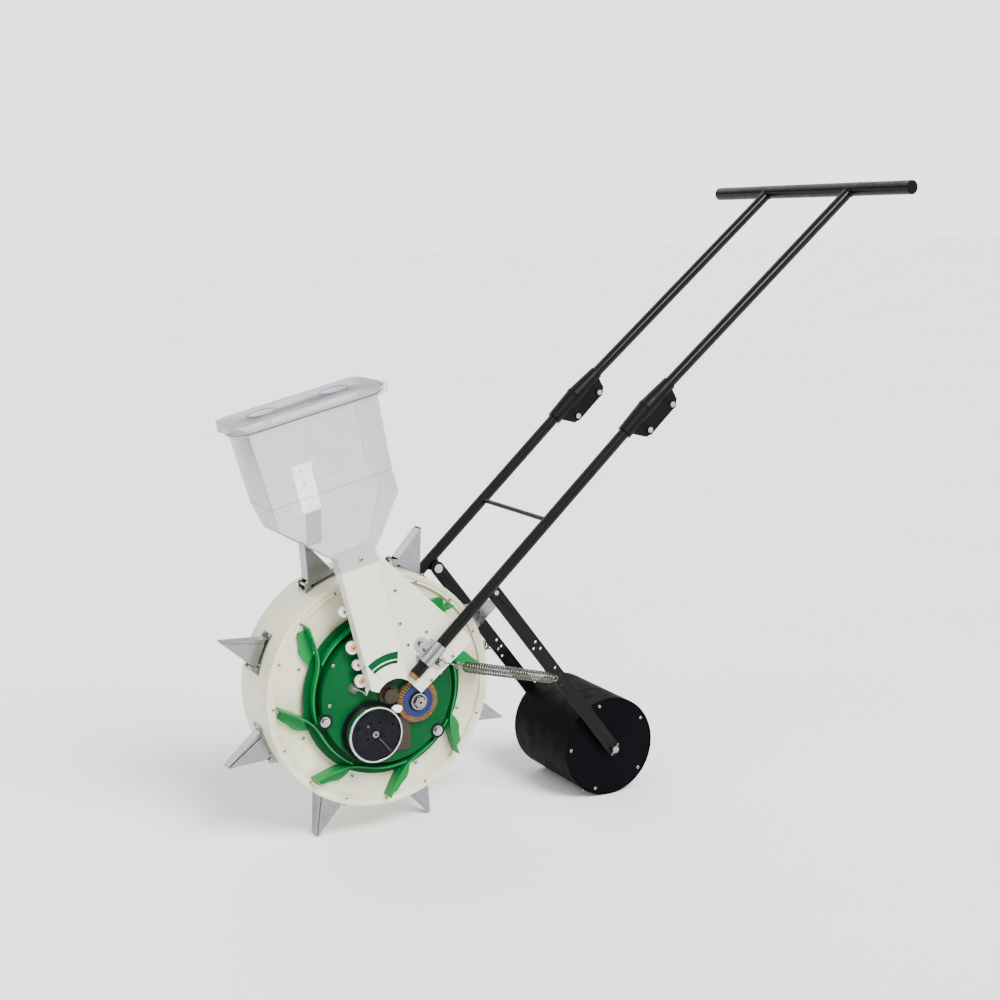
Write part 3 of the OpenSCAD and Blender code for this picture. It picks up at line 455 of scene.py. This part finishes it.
def dress(material, *nodes, bevel=0.35):
    """Gives CAD nodes their material, edges softened by bevel millimetres, and smooth shading."""
    corner = math.radians(30)
    for node in nodes:
        obj = frame["nodes"][node]
        obj.data.materials.clear()
        obj.data.materials.append(material)
        weld = obj.modifiers.new("weld", "WELD")
        weld.merge_threshold = 0.000005
        if bevel:
            edge = obj.modifiers.new("edge", "BEVEL")
            edge.width = bevel * MM
            edge.segments = 2
            edge.limit_method = "ANGLE"
            edge.angle_limit = corner
            flat = obj.modifiers.new("flat", "WEIGHTED_NORMAL")
            flat.keep_sharp = True
        else:
            crease = obj.modifiers.new("crease", "EDGE_SPLIT")
            crease.split_angle = corner
        obj.data.shade_smooth()


def second_material(node, material, picked):
    """Another material for the faces of a CAD node whose middle is picked."""
    obj = frame["nodes"][node]
    obj.data.materials.append(material)
    for face in obj.data.polygons:
        if picked(obj.matrix_world @ face.center):
            face.material_index = 1


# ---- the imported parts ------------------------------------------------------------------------

dress(BLACK, "lower_tube_left", "lower_tube_right", "upper_tube_left", "upper_tube_right", bevel=0)
dress(BLACK, "handlebar", "cross_brace", "arm_left", "arm_right")
dress(CAST_BLACK, "coupler_left", "coupler_right", bevel=0.8)
dress(ZINC, "tube_clamp_left", "tube_clamp_right", "frame_bolts", "dish_bolts", "axle_nut")
dress(STEEL, "main_axle", "roller_axle", "drum_bearings", "brush_shaft")
dress(GALVANISED, "fixed_jaws", *["moving_jaw_%d" % k for k in range(1, 9)], bevel=0.25)
dress(ZINC, "jaw_pins")
dress(CHROME, "metering_ring")
dress(IVORY, "drum_shell", "drum_side_left", "drum_side_right", "ring_gear", bevel=0.6)
dress(PLATE, "side_plate_left", "side_plate_right", bevel=0.5)
dress(CHUTE, "chute_front", "chute_back", bevel=0.8)
dress(CLEAR, "hopper", "lid_hinge", bevel=0)
dress(CLEAR_LID, "hopper_lid", bevel=0)
dress(WINDOW, "metering_cover", bevel=0)
dress(GREEN, "seed_dish", bevel=0.6)
dress(LEAF_GREEN, "seed_guides", bevel=0.3)
dress(SMOKE, "seed_chamber", "hub_bush")
dress(DISC_BLACK, "seed_plate")
dress(ROLLER, "roller_shell", "roller_caps", bevel=1.0)
dress(BLUE, "brush_hub")
dress(WHITE, "seed_pinion")
# The gate bracket glows: painted light.
dress(GLOWING_WHITE, "gate_bracket")
dress(GREY, "gate_slide")
dress(TAN, "end_plugs")
second_material("end_plugs", BLACK, lambda p: p.z > spot(0, 0, 500).z)


# ---- springs ---------------------------------------------------------------------------------

WIRE_R = 1.25 * MM
COIL_R = 8.7 * MM
TURNS = 38
TURN_STEPS = 18
SPRING_Y = 120.5 * MM
OPEN_EYE = [math.radians(d) for d in range(-150, 151, 20)]
PIVOT = joint_at("press_arm_swing")
ARM_END = joint_at("press_roller_spin")
ARM_ALONG = (ARM_END - PIVOT).normalized()
ARM_ACROSS = Vector((-ARM_ALONG.z, 0, ARM_ALONG.x))
ARM_HOLE = PIVOT + ARM_ALONG * 206 * MM - ARM_ACROSS * 3 * MM


def eye(at, out, side, radius, tail):
    """A wire eye open towards the side away from out, whose end runs on to tail."""
    return [at + radius * (math.cos(a) * out + math.sin(a) * side) for a in OPEN_EYE] + [tail]


def extension_spring(side, name):
    """The coil, its eyes, and the hooks to the saddle's bolt and to the arm's hole, on one side."""
    bolt = spot(84.5, side * 116.5, 46.2)
    hole = Vector((ARM_HOLE.x, side * 107.6 * MM, ARM_HOLE.z))
    line = Vector((hole.x - bolt.x, 0, hole.z - bolt.z))
    way = line.normalized()
    rise = Vector((-way.z, 0, way.x))
    start = bolt + way * 42 * MM
    end = bolt + way * (line.length - 15 * MM)
    start.y = end.y = side * SPRING_Y
    helix = []
    for i in range(TURNS * TURN_STEPS + 1):
        t = i / (TURNS * TURN_STEPS)
        a = 2 * math.pi * TURNS * t
        r = COIL_R * (0.5 + 0.5 * min(1, t * TURNS / 1.5, (1 - t) * TURNS / 1.5))
        helix.append(start + (end - start) * t + r * (math.cos(a) * rise + math.sin(a) * ACROSS))
    near_eye = start - way * 9 * MM
    far_eye = end + way * 4 * MM
    link = near_eye - way * 5.5 * MM
    bend = bolt + way * 14 * MM + rise * 1.5 * MM
    outside = ACROSS * side * MM
    wires = [
        helix,
        eye(near_eye, -way, rise, 5.6 * MM, helix[0]),
        eye(link, way, ACROSS, 3.6 * MM, bend),
        eye(bolt, -way, rise, 5.2 * MM, bolt + way * 6 * MM) + [bend, link],
        eye(far_eye, way, rise, 4.6 * MM, helix[-1]),
        [far_eye + way * 3 * MM, hole + way * MM + outside * 6, hole + outside * 3, hole],
    ]
    coils = joined(*[sweep(wire, WIRE_R, 8) for wire in wires])
    obj = piece("extension_spring_" + name, *coils, None, WIRE, "spring_steel", 60)
    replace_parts(obj, "spring_" + name)
    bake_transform(obj)


extension_spring(-1, "left")
extension_spring(1, "right")


# ---- brush -----------------------------------------------------------------------------------


ROWS = 6
TUFTS = 42
TUFT_FIBRES = 4


def bristles():
    """Rows of tufts round the hub, each fibre a little bent and a little shorter or longer."""
    centre = middle("brush_bristles")
    low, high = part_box("brush_bristles")
    outer = (high.x - low.x) / 2
    inner = 25.5 * MM
    parts = []
    for row in range(ROWS):
        y = low.y + (high.y - low.y) * (row + 0.5) / ROWS
        for k in range(TUFTS * TUFT_FIBRES):
            tuft, fibre = divmod(k, TUFT_FIBRES)
            a = 2 * math.pi * (tuft + 0.32 + 0.12 * fibre + 0.08 * random.random()) / TUFTS
            bend = random.uniform(-0.05, 0.05)
            reach = outer * random.uniform(0.94, 0.995)
            lean_y = random.uniform(-0.8, 0.8) * MM
            path = []
            for t in (0, 0.5, 1):
                r = inner + (reach - inner) * t
                b = a + bend * t * t
                out = Vector((math.cos(b), 0, math.sin(b)))
                path.append(Vector((centre.x, y + lean_y * t, centre.z)) + out * r)
            parts.append(sweep(path, lambda t: (0.5 - 0.18 * t) * MM, 4))
    obj = piece("brush_fibres", *joined(*parts), "brush", FIBRE, "bristle", 80)
    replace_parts(obj, "brush_bristles")


bristles()


# ---- hopper ----------------------------------------------------------------------------------


HOPPER_U = -9
NECK_U = -5.5
LID_U = -11.5
RIM_V = 488
CREASE_V = 364
SHOULDER_V = 328
NECK_V = 259
SCOOP_R = 24


def rounded_path(half, mid_u, y0, y1, v, r, steps=8):
    """A rounded rectangle in the hopper's leaning frame, as a closed path."""
    corners = ((half - r, y1 - r), (r - half, y1 - r), (r - half, y0 + r), (half - r, y0 + r))
    path = []
    for quarter, (u, y) in enumerate(corners):
        for k in range(steps + 1):
            a = math.radians(90 * quarter + 90 * k / steps)
            path.append(leaning(mid_u + u + r * math.cos(a), y + r * math.sin(a), v))
    return path


def lid_lips():
    """The lid's rolled lip, its upper edge, and the rims of its two scoops, as dark lines of painted
    shade.
    """
    rings = [
        sweep(rounded_path(126.5, LID_U, -113.5, 3.5, 490.6, 23), 0.9 * MM, 8, closed=True),
        sweep(rounded_path(125.8, LID_U, -112.8, 2.8, 504.6, 22), 0.5 * MM, 8, closed=True),
    ]
    for u in (-62, 62):
        ring = []
        for k in range(45):
            a = math.radians(8 * k)
            ring.append(leaning(LID_U + u + SCOOP_R * math.cos(a), -55 + SCOOP_R * math.sin(a), 505.1))
        rings.append(sweep(ring, 0.7 * MM, 8, closed=True))
    piece("lid_lips", *joined(*rings), "lid", LILAC_EDGE_SHADE, "clear_plastic")


def hopper_lips():
    """The hopper's rim, its crease, and the four rounded corners that run down to the neck, as dark
    lines of painted shade.
    """
    lines = [
        sweep(rounded_path(118.2, HOPPER_U, -111.2, 1.2, RIM_V + 0.6, 16), 0.7 * MM, 8, closed=True),
        sweep(rounded_path(107.2, HOPPER_U, -107.2, -2.8, CREASE_V, 9), 0.35 * MM, 6, closed=True),
    ]
    for end in (-1, 1):
        for y_rim, y_shoulder, y_neck, inward in ((-107, -113, -127.5, 2.4), (-3, -37, -96, -2.4)):
            corner = [
                leaning(HOPPER_U + end * 110.6, y_rim + inward, RIM_V),
                leaning(HOPPER_U + end * 104.6, y_rim + inward, CREASE_V),
                leaning(HOPPER_U + end * 104.6, y_shoulder + inward, SHOULDER_V),
                leaning(NECK_U + end * 37, y_neck + inward / 3, NECK_V),
            ]
            lines.append(sweep(corner, 0.5 * MM, 6))
    piece("hopper_lips", *joined(*lines), "frame", LILAC_EDGE_SHADE, "clear_plastic")


def feed_slide():
    """The thin grey slide that lies on the hopper's sloping floor, below the bracket."""
    verts = []
    for lift in (0.2, 2.6):
        for u, v in ((-66, 281), (-40, 281), (-16, 321), (-43, 321)):
            floor_y = -97.5 + 0.868 * (v - NECK_V + 1)
            verts.append(leaning(u, floor_y - lift, v + lift * 0.8))
    faces = [(0, 1, 2, 3), (7, 6, 5, 4), (0, 4, 5, 1), (1, 5, 6, 2), (2, 6, 7, 3), (3, 7, 4, 0)]
    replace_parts(piece("feed_slide", verts, faces, "frame", GREY, "grey_plastic"), "gate_slide")


lid_lips()
hopper_lips()
feed_slide()


# ---- screws ----------------------------------------------------------------------------------


EARS = [leaning(-44, 0, v) for v in (104, 45)]


def painted_recess_cross(at, axis, radius, height):
    """A dark cross of painted shade set in a pan head's recess."""
    axis = Vector(axis).normalized()
    one = axis.orthogonal().normalized()
    two = axis.cross(one)
    verts, faces = [], []
    for a, b in ((one, two), (two, one)):
        base = len(verts)
        for h in (0.8, 1.02):
            for i, j in ((-1, -1), (1, -1), (1, 1), (-1, 1)):
                verts.append(at + axis * height * h + a * (i * radius * 0.62) + b * (j * radius * 0.17))
        faces += [tuple(base + k for k in f) for f in
                  ((3, 2, 1, 0), (4, 5, 6, 7), (0, 1, 5, 4), (1, 2, 6, 5), (2, 3, 7, 6), (3, 0, 4, 7))]
    return verts, faces


def detailed_screws(node, body, slot, brass=()):
    """A cross-recessed pan head on each small cylinder of a CAD node, brass where it is near brass."""
    plain, gilt, shaded_cuts = [], [], []
    for points in islands(node):
        low = Vector([min(p[i] for p in points) for i in range(3)])
        high = Vector([max(p[i] for p in points) for i in range(3)])
        size = high - low
        mid = (low + high) / 2
        if abs(size.x - size.z) < 0.15 * MM and size.y < 2.2 * size.x:
            side = -1 if mid.y < 0 else 1
            seat = Vector((mid.x, low.y if side > 0 else high.y, mid.z))
            shape = (seat, ACROSS * side, size.x / 2, size.y)
        else:
            outward = Vector((mid.x - AXLE.x, 0, mid.z - AXLE.z)).normalized()
            shape = (mid - outward * MM, outward, 2.8 * MM, 2 * MM)
        near = any(abs(mid.x - b.x) + abs(mid.z - b.z) < 5 * MM for b in brass)
        (gilt if near else plain).append(screw_head(*shape))
        shaded_cuts.append(painted_recess_cross(*shape))
    obj = piece(node + "_heads", *joined(*plain), body, ZINC, slot, 50)
    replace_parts(obj, node)
    # Dark crosses in the recesses: painted shade.
    piece(node + "_recess_shade", *joined(*shaded_cuts), body, BLACK_SEAL_AND_SHADE, "black_plastic", 50)
    if gilt:
        piece(node + "_brass", *joined(*gilt), body, BRASS, slot, 50)


detailed_screws("drum_screws", "drum", "zinc")
detailed_screws("roller_screws", "press_roller", "zinc")
detailed_screws("casing_screws", "frame", "zinc", EARS)


# ---- weld beads ------------------------------------------------------------------------------

GRIP = middle("handlebar")
KNEE = spot(488.6, 0, 440.5)
TUBE_R = 9.75 * MM
TUBE_Y = middle("lower_tube_right").y
LOW_END = spot(36.2, 0, 34.9)
LOW_WAY = (KNEE - LOW_END).normalized()
HIGH_WAY = (GRIP - KNEE).normalized()


def bead(path, radius):
    """A weld bead: a rippled ring on the seam between two tubes."""
    count = len(path)
    return sweep(path, lambda t: radius * (1 + 0.16 * math.sin(t * count * 1.3)), 8, closed=True)


def saddle_seam(centre, way, radius, other_radius, steps=64):
    """Where a round tube that runs along way meets a cylinder across the machine."""
    side = Vector((-way.z, 0, way.x))
    path = []
    for k in range(steps):
        a = 2 * math.pi * k / steps
        drop = radius * math.cos(a)
        back = math.sqrt(other_radius ** 2 - drop ** 2)
        path.append(centre - way * back + side * drop + ACROSS * radius * math.sin(a))
    return path


def brace_seam(centre, side, steps=48):
    """Where the cross brace meets a long tube."""
    normal = Vector((-LOW_WAY.z, 0, LOW_WAY.x))
    path = []
    for k in range(steps):
        a = 2 * math.pi * k / steps
        rise = 4 * MM * math.sin(a)
        depth = math.sqrt(TUBE_R ** 2 - rise ** 2)
        path.append(centre + LOW_WAY * 4 * MM * math.cos(a) + normal * rise - ACROSS * side * depth)
    return path


def welds():
    """The seams of the bar's saddles and of the cross brace."""
    bar_r = (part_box("handlebar")[1].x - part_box("handlebar")[0].x) / 2
    brace = middle("cross_brace")
    parts = []
    for side in (-1, 1):
        tube = ACROSS * side * TUBE_Y
        saddle = saddle_seam(Vector((GRIP.x, 0, GRIP.z)) + tube, HIGH_WAY, TUBE_R + 0.3 * MM, bar_r)
        parts.append(bead(saddle, 1.5 * MM))
        parts.append(bead(brace_seam(Vector((brace.x, 0, brace.z)) + tube, side), 1.1 * MM))
    piece("weld_beads", *joined(*parts), "frame", BLACK, "black_paint", 70)


welds()


# ---- metering face ---------------------------------------------------------------------------

DISH_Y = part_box("seed_dish")[0].y


DISH_SCREWS = ((-19, 15), (-95, 63), (-104, -3), (20, -62), (64, 52), (96, 22))
KNOB_PROFILE = ((9.2, 0), (9.2, 1.4), (7.6, 1.8), (7.4, 5.2), (6.2, 6.8), (3.6, 7.6), (0.0001, 7.8))
SHADOW_RING_PROFILE = ((13.2, 0), (13.2, 0.2), (12.4, 0.5), (8.0, 0.5), (8.0, 0))
SLEEVE_PROFILE = ((3.3, 0), (5.6, 0), (5.6, 0.5), (5.0, 0.9), (3.3, 0.9))


def in_metres(profile):
    return [(r * MM, h * MM) for r, h in profile]


def filler_knob():
    """The small knob on the dish and the bent pin across it."""
    foot = spot(-61, DISH_Y / MM, 20.5)
    knob = turned(in_metres(KNOB_PROFILE), foot, TOWARDS_US, 36)
    piece("filler_knob", *knob, "frame", KNOB, "grey_plastic")
    tip = foot + TOWARDS_US * 7 * MM
    pin = [tip + Vector((t * 15, 0, -t * 8)) * MM for t in (-0.35, 0, 0.5, 0.9, 1.0)]
    pin[-1] += Vector((0.5, 0, -3)) * MM
    piece("knob_pin", *sweep(pin, 1.0 * MM, 10), "frame", ZINC, "zinc")


def dish_screws():
    """The dish's small screws with painted shade in their recesses, and dark rings of painted shadow
    round its two bolts.
    """
    heads = [(spot(x, DISH_Y / MM, z), TOWARDS_US, 3.4 * MM, 2.4 * MM) for x, z in DISH_SCREWS]
    piece("dish_screws", *joined(*[screw_head(*one) for one in heads]), "frame", ZINC, "zinc", 50)
    shaded_cuts = [painted_recess_cross(*one) for one in heads]
    piece("dish_screw_recess_shade", *joined(*shaded_cuts), "frame", BLACK_SEAL_AND_SHADE, "black_plastic", 50)
    shadow_rings = []
    for points in islands("dish_bolts"):
        where = sum(points, Vector()) / len(points)
        seat = Vector((where.x, DISH_Y - 0.05 * MM, where.z))
        shadow_rings.append(turned(in_metres(SHADOW_RING_PROFILE), seat, TOWARDS_US, 40))
    piece("dish_bolt_shadows", *joined(*shadow_rings), "frame", BOLT_SHADOW, "green_plastic", 50)


def seed_plate_face():
    """The seed plate's middle screw, a scribed line across the plate and a small chip."""
    seed = joint_at("seed_plate_spin")
    plate_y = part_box("seed_plate")[0].y
    hub = Vector((seed.x, plate_y + 1.3 * MM, seed.z))
    head = (hub, TOWARDS_US, 6.4 * MM, 1.7 * MM)
    piece("seed_plate_screw", *screw_head(*head), "seed_wheel", ZINC, "zinc", 50)
    # A dark cross in the screw's recess: painted shade.
    piece("seed_plate_recess_shade", *painted_recess_cross(*head), "seed_wheel", BLACK_SEAL_AND_SHADE, "black_plastic", 50)
    face = Vector((seed.x, plate_y - 0.05 * MM, seed.z))
    scribe = [face + Vector((t * 0.62, 0, -t * 0.78)) * MM for t in (9, 20, 31, 41)]
    chip = [face + Vector((-t * 0.66, 0, t * 0.75)) * MM for t in (18, 20, 22)]
    marks = joined(sweep(scribe, 0.35 * MM, 6), sweep(chip, 0.9 * MM, 6))
    piece("seed_plate_scribe", *marks, "seed_wheel", ZINC, "zinc")


filler_knob()
dish_screws()
seed_plate_face()


def arc_plate(r0, r1, a0, a1, y0, y1, centre=AXLE, steps=28):
    """A flat arc about an axis across the machine, in metres, degrees and metres."""
    verts, faces = [], []
    for k in range(steps + 1):
        a = math.radians(a0 + (a1 - a0) * k / steps)
        for r, y in ((r0, y0), (r1, y0), (r1, y1), (r0, y1)):
            verts.append(Vector((centre.x + r * math.cos(a), y, centre.z + r * math.sin(a))))
    for k in range(steps):
        for j in range(4):
            n = (j + 1) % 4
            faces.append((k * 4 + j, k * 4 + n, k * 4 + 4 + n, k * 4 + 4 + j))
    faces.append((3, 2, 1, 0))
    faces.append(tuple(steps * 4 + j for j in range(4)))
    return verts, faces


def extruded(outline, y0, y1):
    """A flat shape given in millimetres about the drum's axis, from y0 to y1."""
    verts = [spot(x, y, z) for y in (y0, y1) for x, z in outline]
    n = len(outline)
    faces = [tuple(range(n)), tuple(2 * n - 1 - k for k in range(n))]
    faces += [(k, n + k, n + (k + 1) % n, (k + 1) % n) for k in range(n)]
    return verts, faces


SCRAPER = ((-2, -19.5), (3.5, -15.6), (10, -15.8), (16, -19), (16.5, -24), (12, -28.5), (5, -27.5),
           (1, -23.5))


def seed_path():
    """The gate and lip behind the chute's window, the scraper, and a dark ring round the metering ring.
    """
    gate = arc_plate(57 * MM, 83 * MM, 83, 131, -121.6 * MM, -120.4 * MM)
    piece("window_gate", *gate, "frame", GREEN, "green_plastic")
    lip = arc_plate(65.2 * MM, 66.8 * MM, 86, 127, -122.4 * MM, -121.4 * MM)
    piece("window_lip", *lip, "frame", WHITE, "white_plastic")
    piece("scraper", *extruded(SCRAPER, -109, -106), "frame", WHITE, "white_plastic")
    seed = joint_at("seed_plate_spin")
    dark_band = arc_plate(47.3 * MM, 51 * MM, 0, 360, DISH_Y - 5.5 * MM, DISH_Y - 3.6 * MM, seed, 72)
    piece("seed_plate_dark_ring", *dark_band, "frame", DISC_BLACK, "black_plastic")


def brush_bearing():
    """The bearing's black seal, with painted shade in the gap by the nut and in the centre drilled in
    the shaft's end.
    """
    low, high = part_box("brush_shaft")
    centre = (low + high) / 2
    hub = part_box("brush_hub")[0].y
    seal = arc_plate(14.1 * MM, 16.6 * MM, 0, 360, hub + 0.2 * MM, hub + 1.2 * MM, centre, 60)
    gap_shade = arc_plate(9.6 * MM, 11.3 * MM, 0, 360, low.y + 7 * MM, low.y + 7.6 * MM, centre, 48)
    dimple_shade = turned([(2.3 * MM, -0.2 * MM), (2.3 * MM, 0.06 * MM), (0.0001, 0.06 * MM)],
                    Vector((centre.x, low.y, centre.z)), TOWARDS_US, 24)
    piece("bearing_seal_and_shade", *joined(seal, gap_shade, dimple_shade), "brush", BLACK_SEAL_AND_SHADE, "black_plastic")


def ear_inserts():
    """The brass sleeves in two of the chute's ears."""
    sleeves = []
    for ear in EARS:
        at = Vector((ear.x, -107.1 * MM, ear.z))
        sleeves.append(turned(in_metres(SLEEVE_PROFILE), at, TOWARDS_US, 32))
    piece("ear_inserts", *joined(*sleeves), "frame", BRASS, "yellow_zinc")


seed_path()
brush_bearing()
ear_inserts()


# ---- light, floor and camera -----------------------------------------------------------------


FLOOR_HALF = 40


def floor():
    """A wide pale floor just under the machine."""
    s = Shader("studio_floor")
    tone = s.ramp(s.noise(1.3, 3), (0.3, (0.86, 0.86, 0.86)), (0.7, (0.88, 0.88, 0.88)))
    s.link(tone, s.bsdf.inputs["Base Color"])
    s.set(Roughness=0.9, Specular_IOR_Level=0.1)
    mesh = bpy.data.meshes.new("floor")
    corners = [(x * FLOOR_HALF, y * FLOOR_HALF, 0) for x, y in ((-1, -1), (1, -1), (1, 1), (-1, 1))]
    mesh.from_pydata(corners, [], [(0, 1, 2, 3)])
    mesh.materials.append(s.material)
    obj = bpy.data.objects.new("floor", mesh)
    bpy.context.scene.collection.objects.link(obj)
    obj.location.z = cad_box[0][2] - 0.0005


def sun(name, towards, strength, softness):
    data = bpy.data.lights.new(name, "SUN")
    data.energy = strength
    data.angle = math.radians(softness)
    obj = bpy.data.objects.new(name, data)
    bpy.context.scene.collection.objects.link(obj)
    obj.rotation_euler = Vector(towards).to_track_quat("-Z", "Y").to_euler()


def studio():
    """A soft room, brighter above and in broad panels, with an even background, and three soft suns."""
    world = bpy.data.worlds.new("studio")
    world.use_nodes = True
    tree = world.node_tree
    background = tree.nodes["Background"]
    background.inputs["Color"].default_value = (1, 1, 1, 1)
    around = tree.nodes.new("ShaderNodeTexCoord").outputs["Generated"]
    split = tree.nodes.new("ShaderNodeSeparateXYZ")
    tree.links.new(around, split.inputs["Vector"])
    height = tree.nodes.new("ShaderNodeMapRange")
    height.inputs["From Min"].default_value = -0.1
    height.inputs["To Min"].default_value = 0.35
    height.inputs["To Max"].default_value = 1.5
    tree.links.new(split.outputs["Z"], height.inputs["Value"])
    boxes = tree.nodes.new("ShaderNodeTexNoise")
    boxes.inputs["Scale"].default_value = 1.5
    boxes.inputs["Detail"].default_value = 0.0
    tree.links.new(around, boxes.inputs["Vector"])
    panels = tree.nodes.new("ShaderNodeMapRange")
    for name, value in (("From Min", 0.4), ("From Max", 0.6), ("To Min", 0.35), ("To Max", 1.65)):
        panels.inputs[name].default_value = value
    tree.links.new(boxes.outputs["Fac"], panels.inputs["Value"])
    light = tree.nodes.new("ShaderNodeMath")
    light.operation = "MULTIPLY"
    tree.links.new(height.outputs["Result"], light.inputs[0])
    tree.links.new(panels.outputs["Result"], light.inputs[1])
    rays = tree.nodes.new("ShaderNodeLightPath")
    level = tree.nodes.new("ShaderNodeMapRange")
    level.inputs["To Max"].default_value = 2.6
    tree.links.new(rays.outputs["Is Camera Ray"], level.inputs["Value"])
    tree.links.new(light.outputs["Value"], level.inputs["To Min"])
    tree.links.new(level.outputs["Result"], background.inputs["Strength"])
    bpy.context.scene.world = world
    sun("key", (-0.15, 0.85, -0.85), 6.0, 25)
    sun("fill", (0.85, 0.35, -0.5), 1.4, 50)
    sun("back", (0.1, -0.8, -0.8), 1.6, 60)


def camera():
    """From the front left, a little above the hopper's height."""
    yaw, pitch, roll = 0.48732, 0.17741, -0.02106
    upright = Matrix(((1, 0, 0), (0, 0, -1), (0, 1, 0)))
    tilt = Matrix.Rotation(roll, 3, "Z") @ Matrix.Rotation(pitch, 3, "X")
    turn = tilt @ upright @ Matrix.Rotation(yaw, 3, "Z")
    columns = Matrix((turn[0], -turn[1], -turn[2])).transposed()
    data = bpy.data.cameras.new("camera")
    data.sensor_width = 36
    data.lens = 57.12
    obj = bpy.data.objects.new("camera", data)
    bpy.context.scene.collection.objects.link(obj)
    obj.matrix_world = Matrix.Translation(spot(-1009.07, -2402.23, 771.29)) @ columns.to_4x4()
    bpy.context.scene.camera = obj


floor()
studio()
camera()
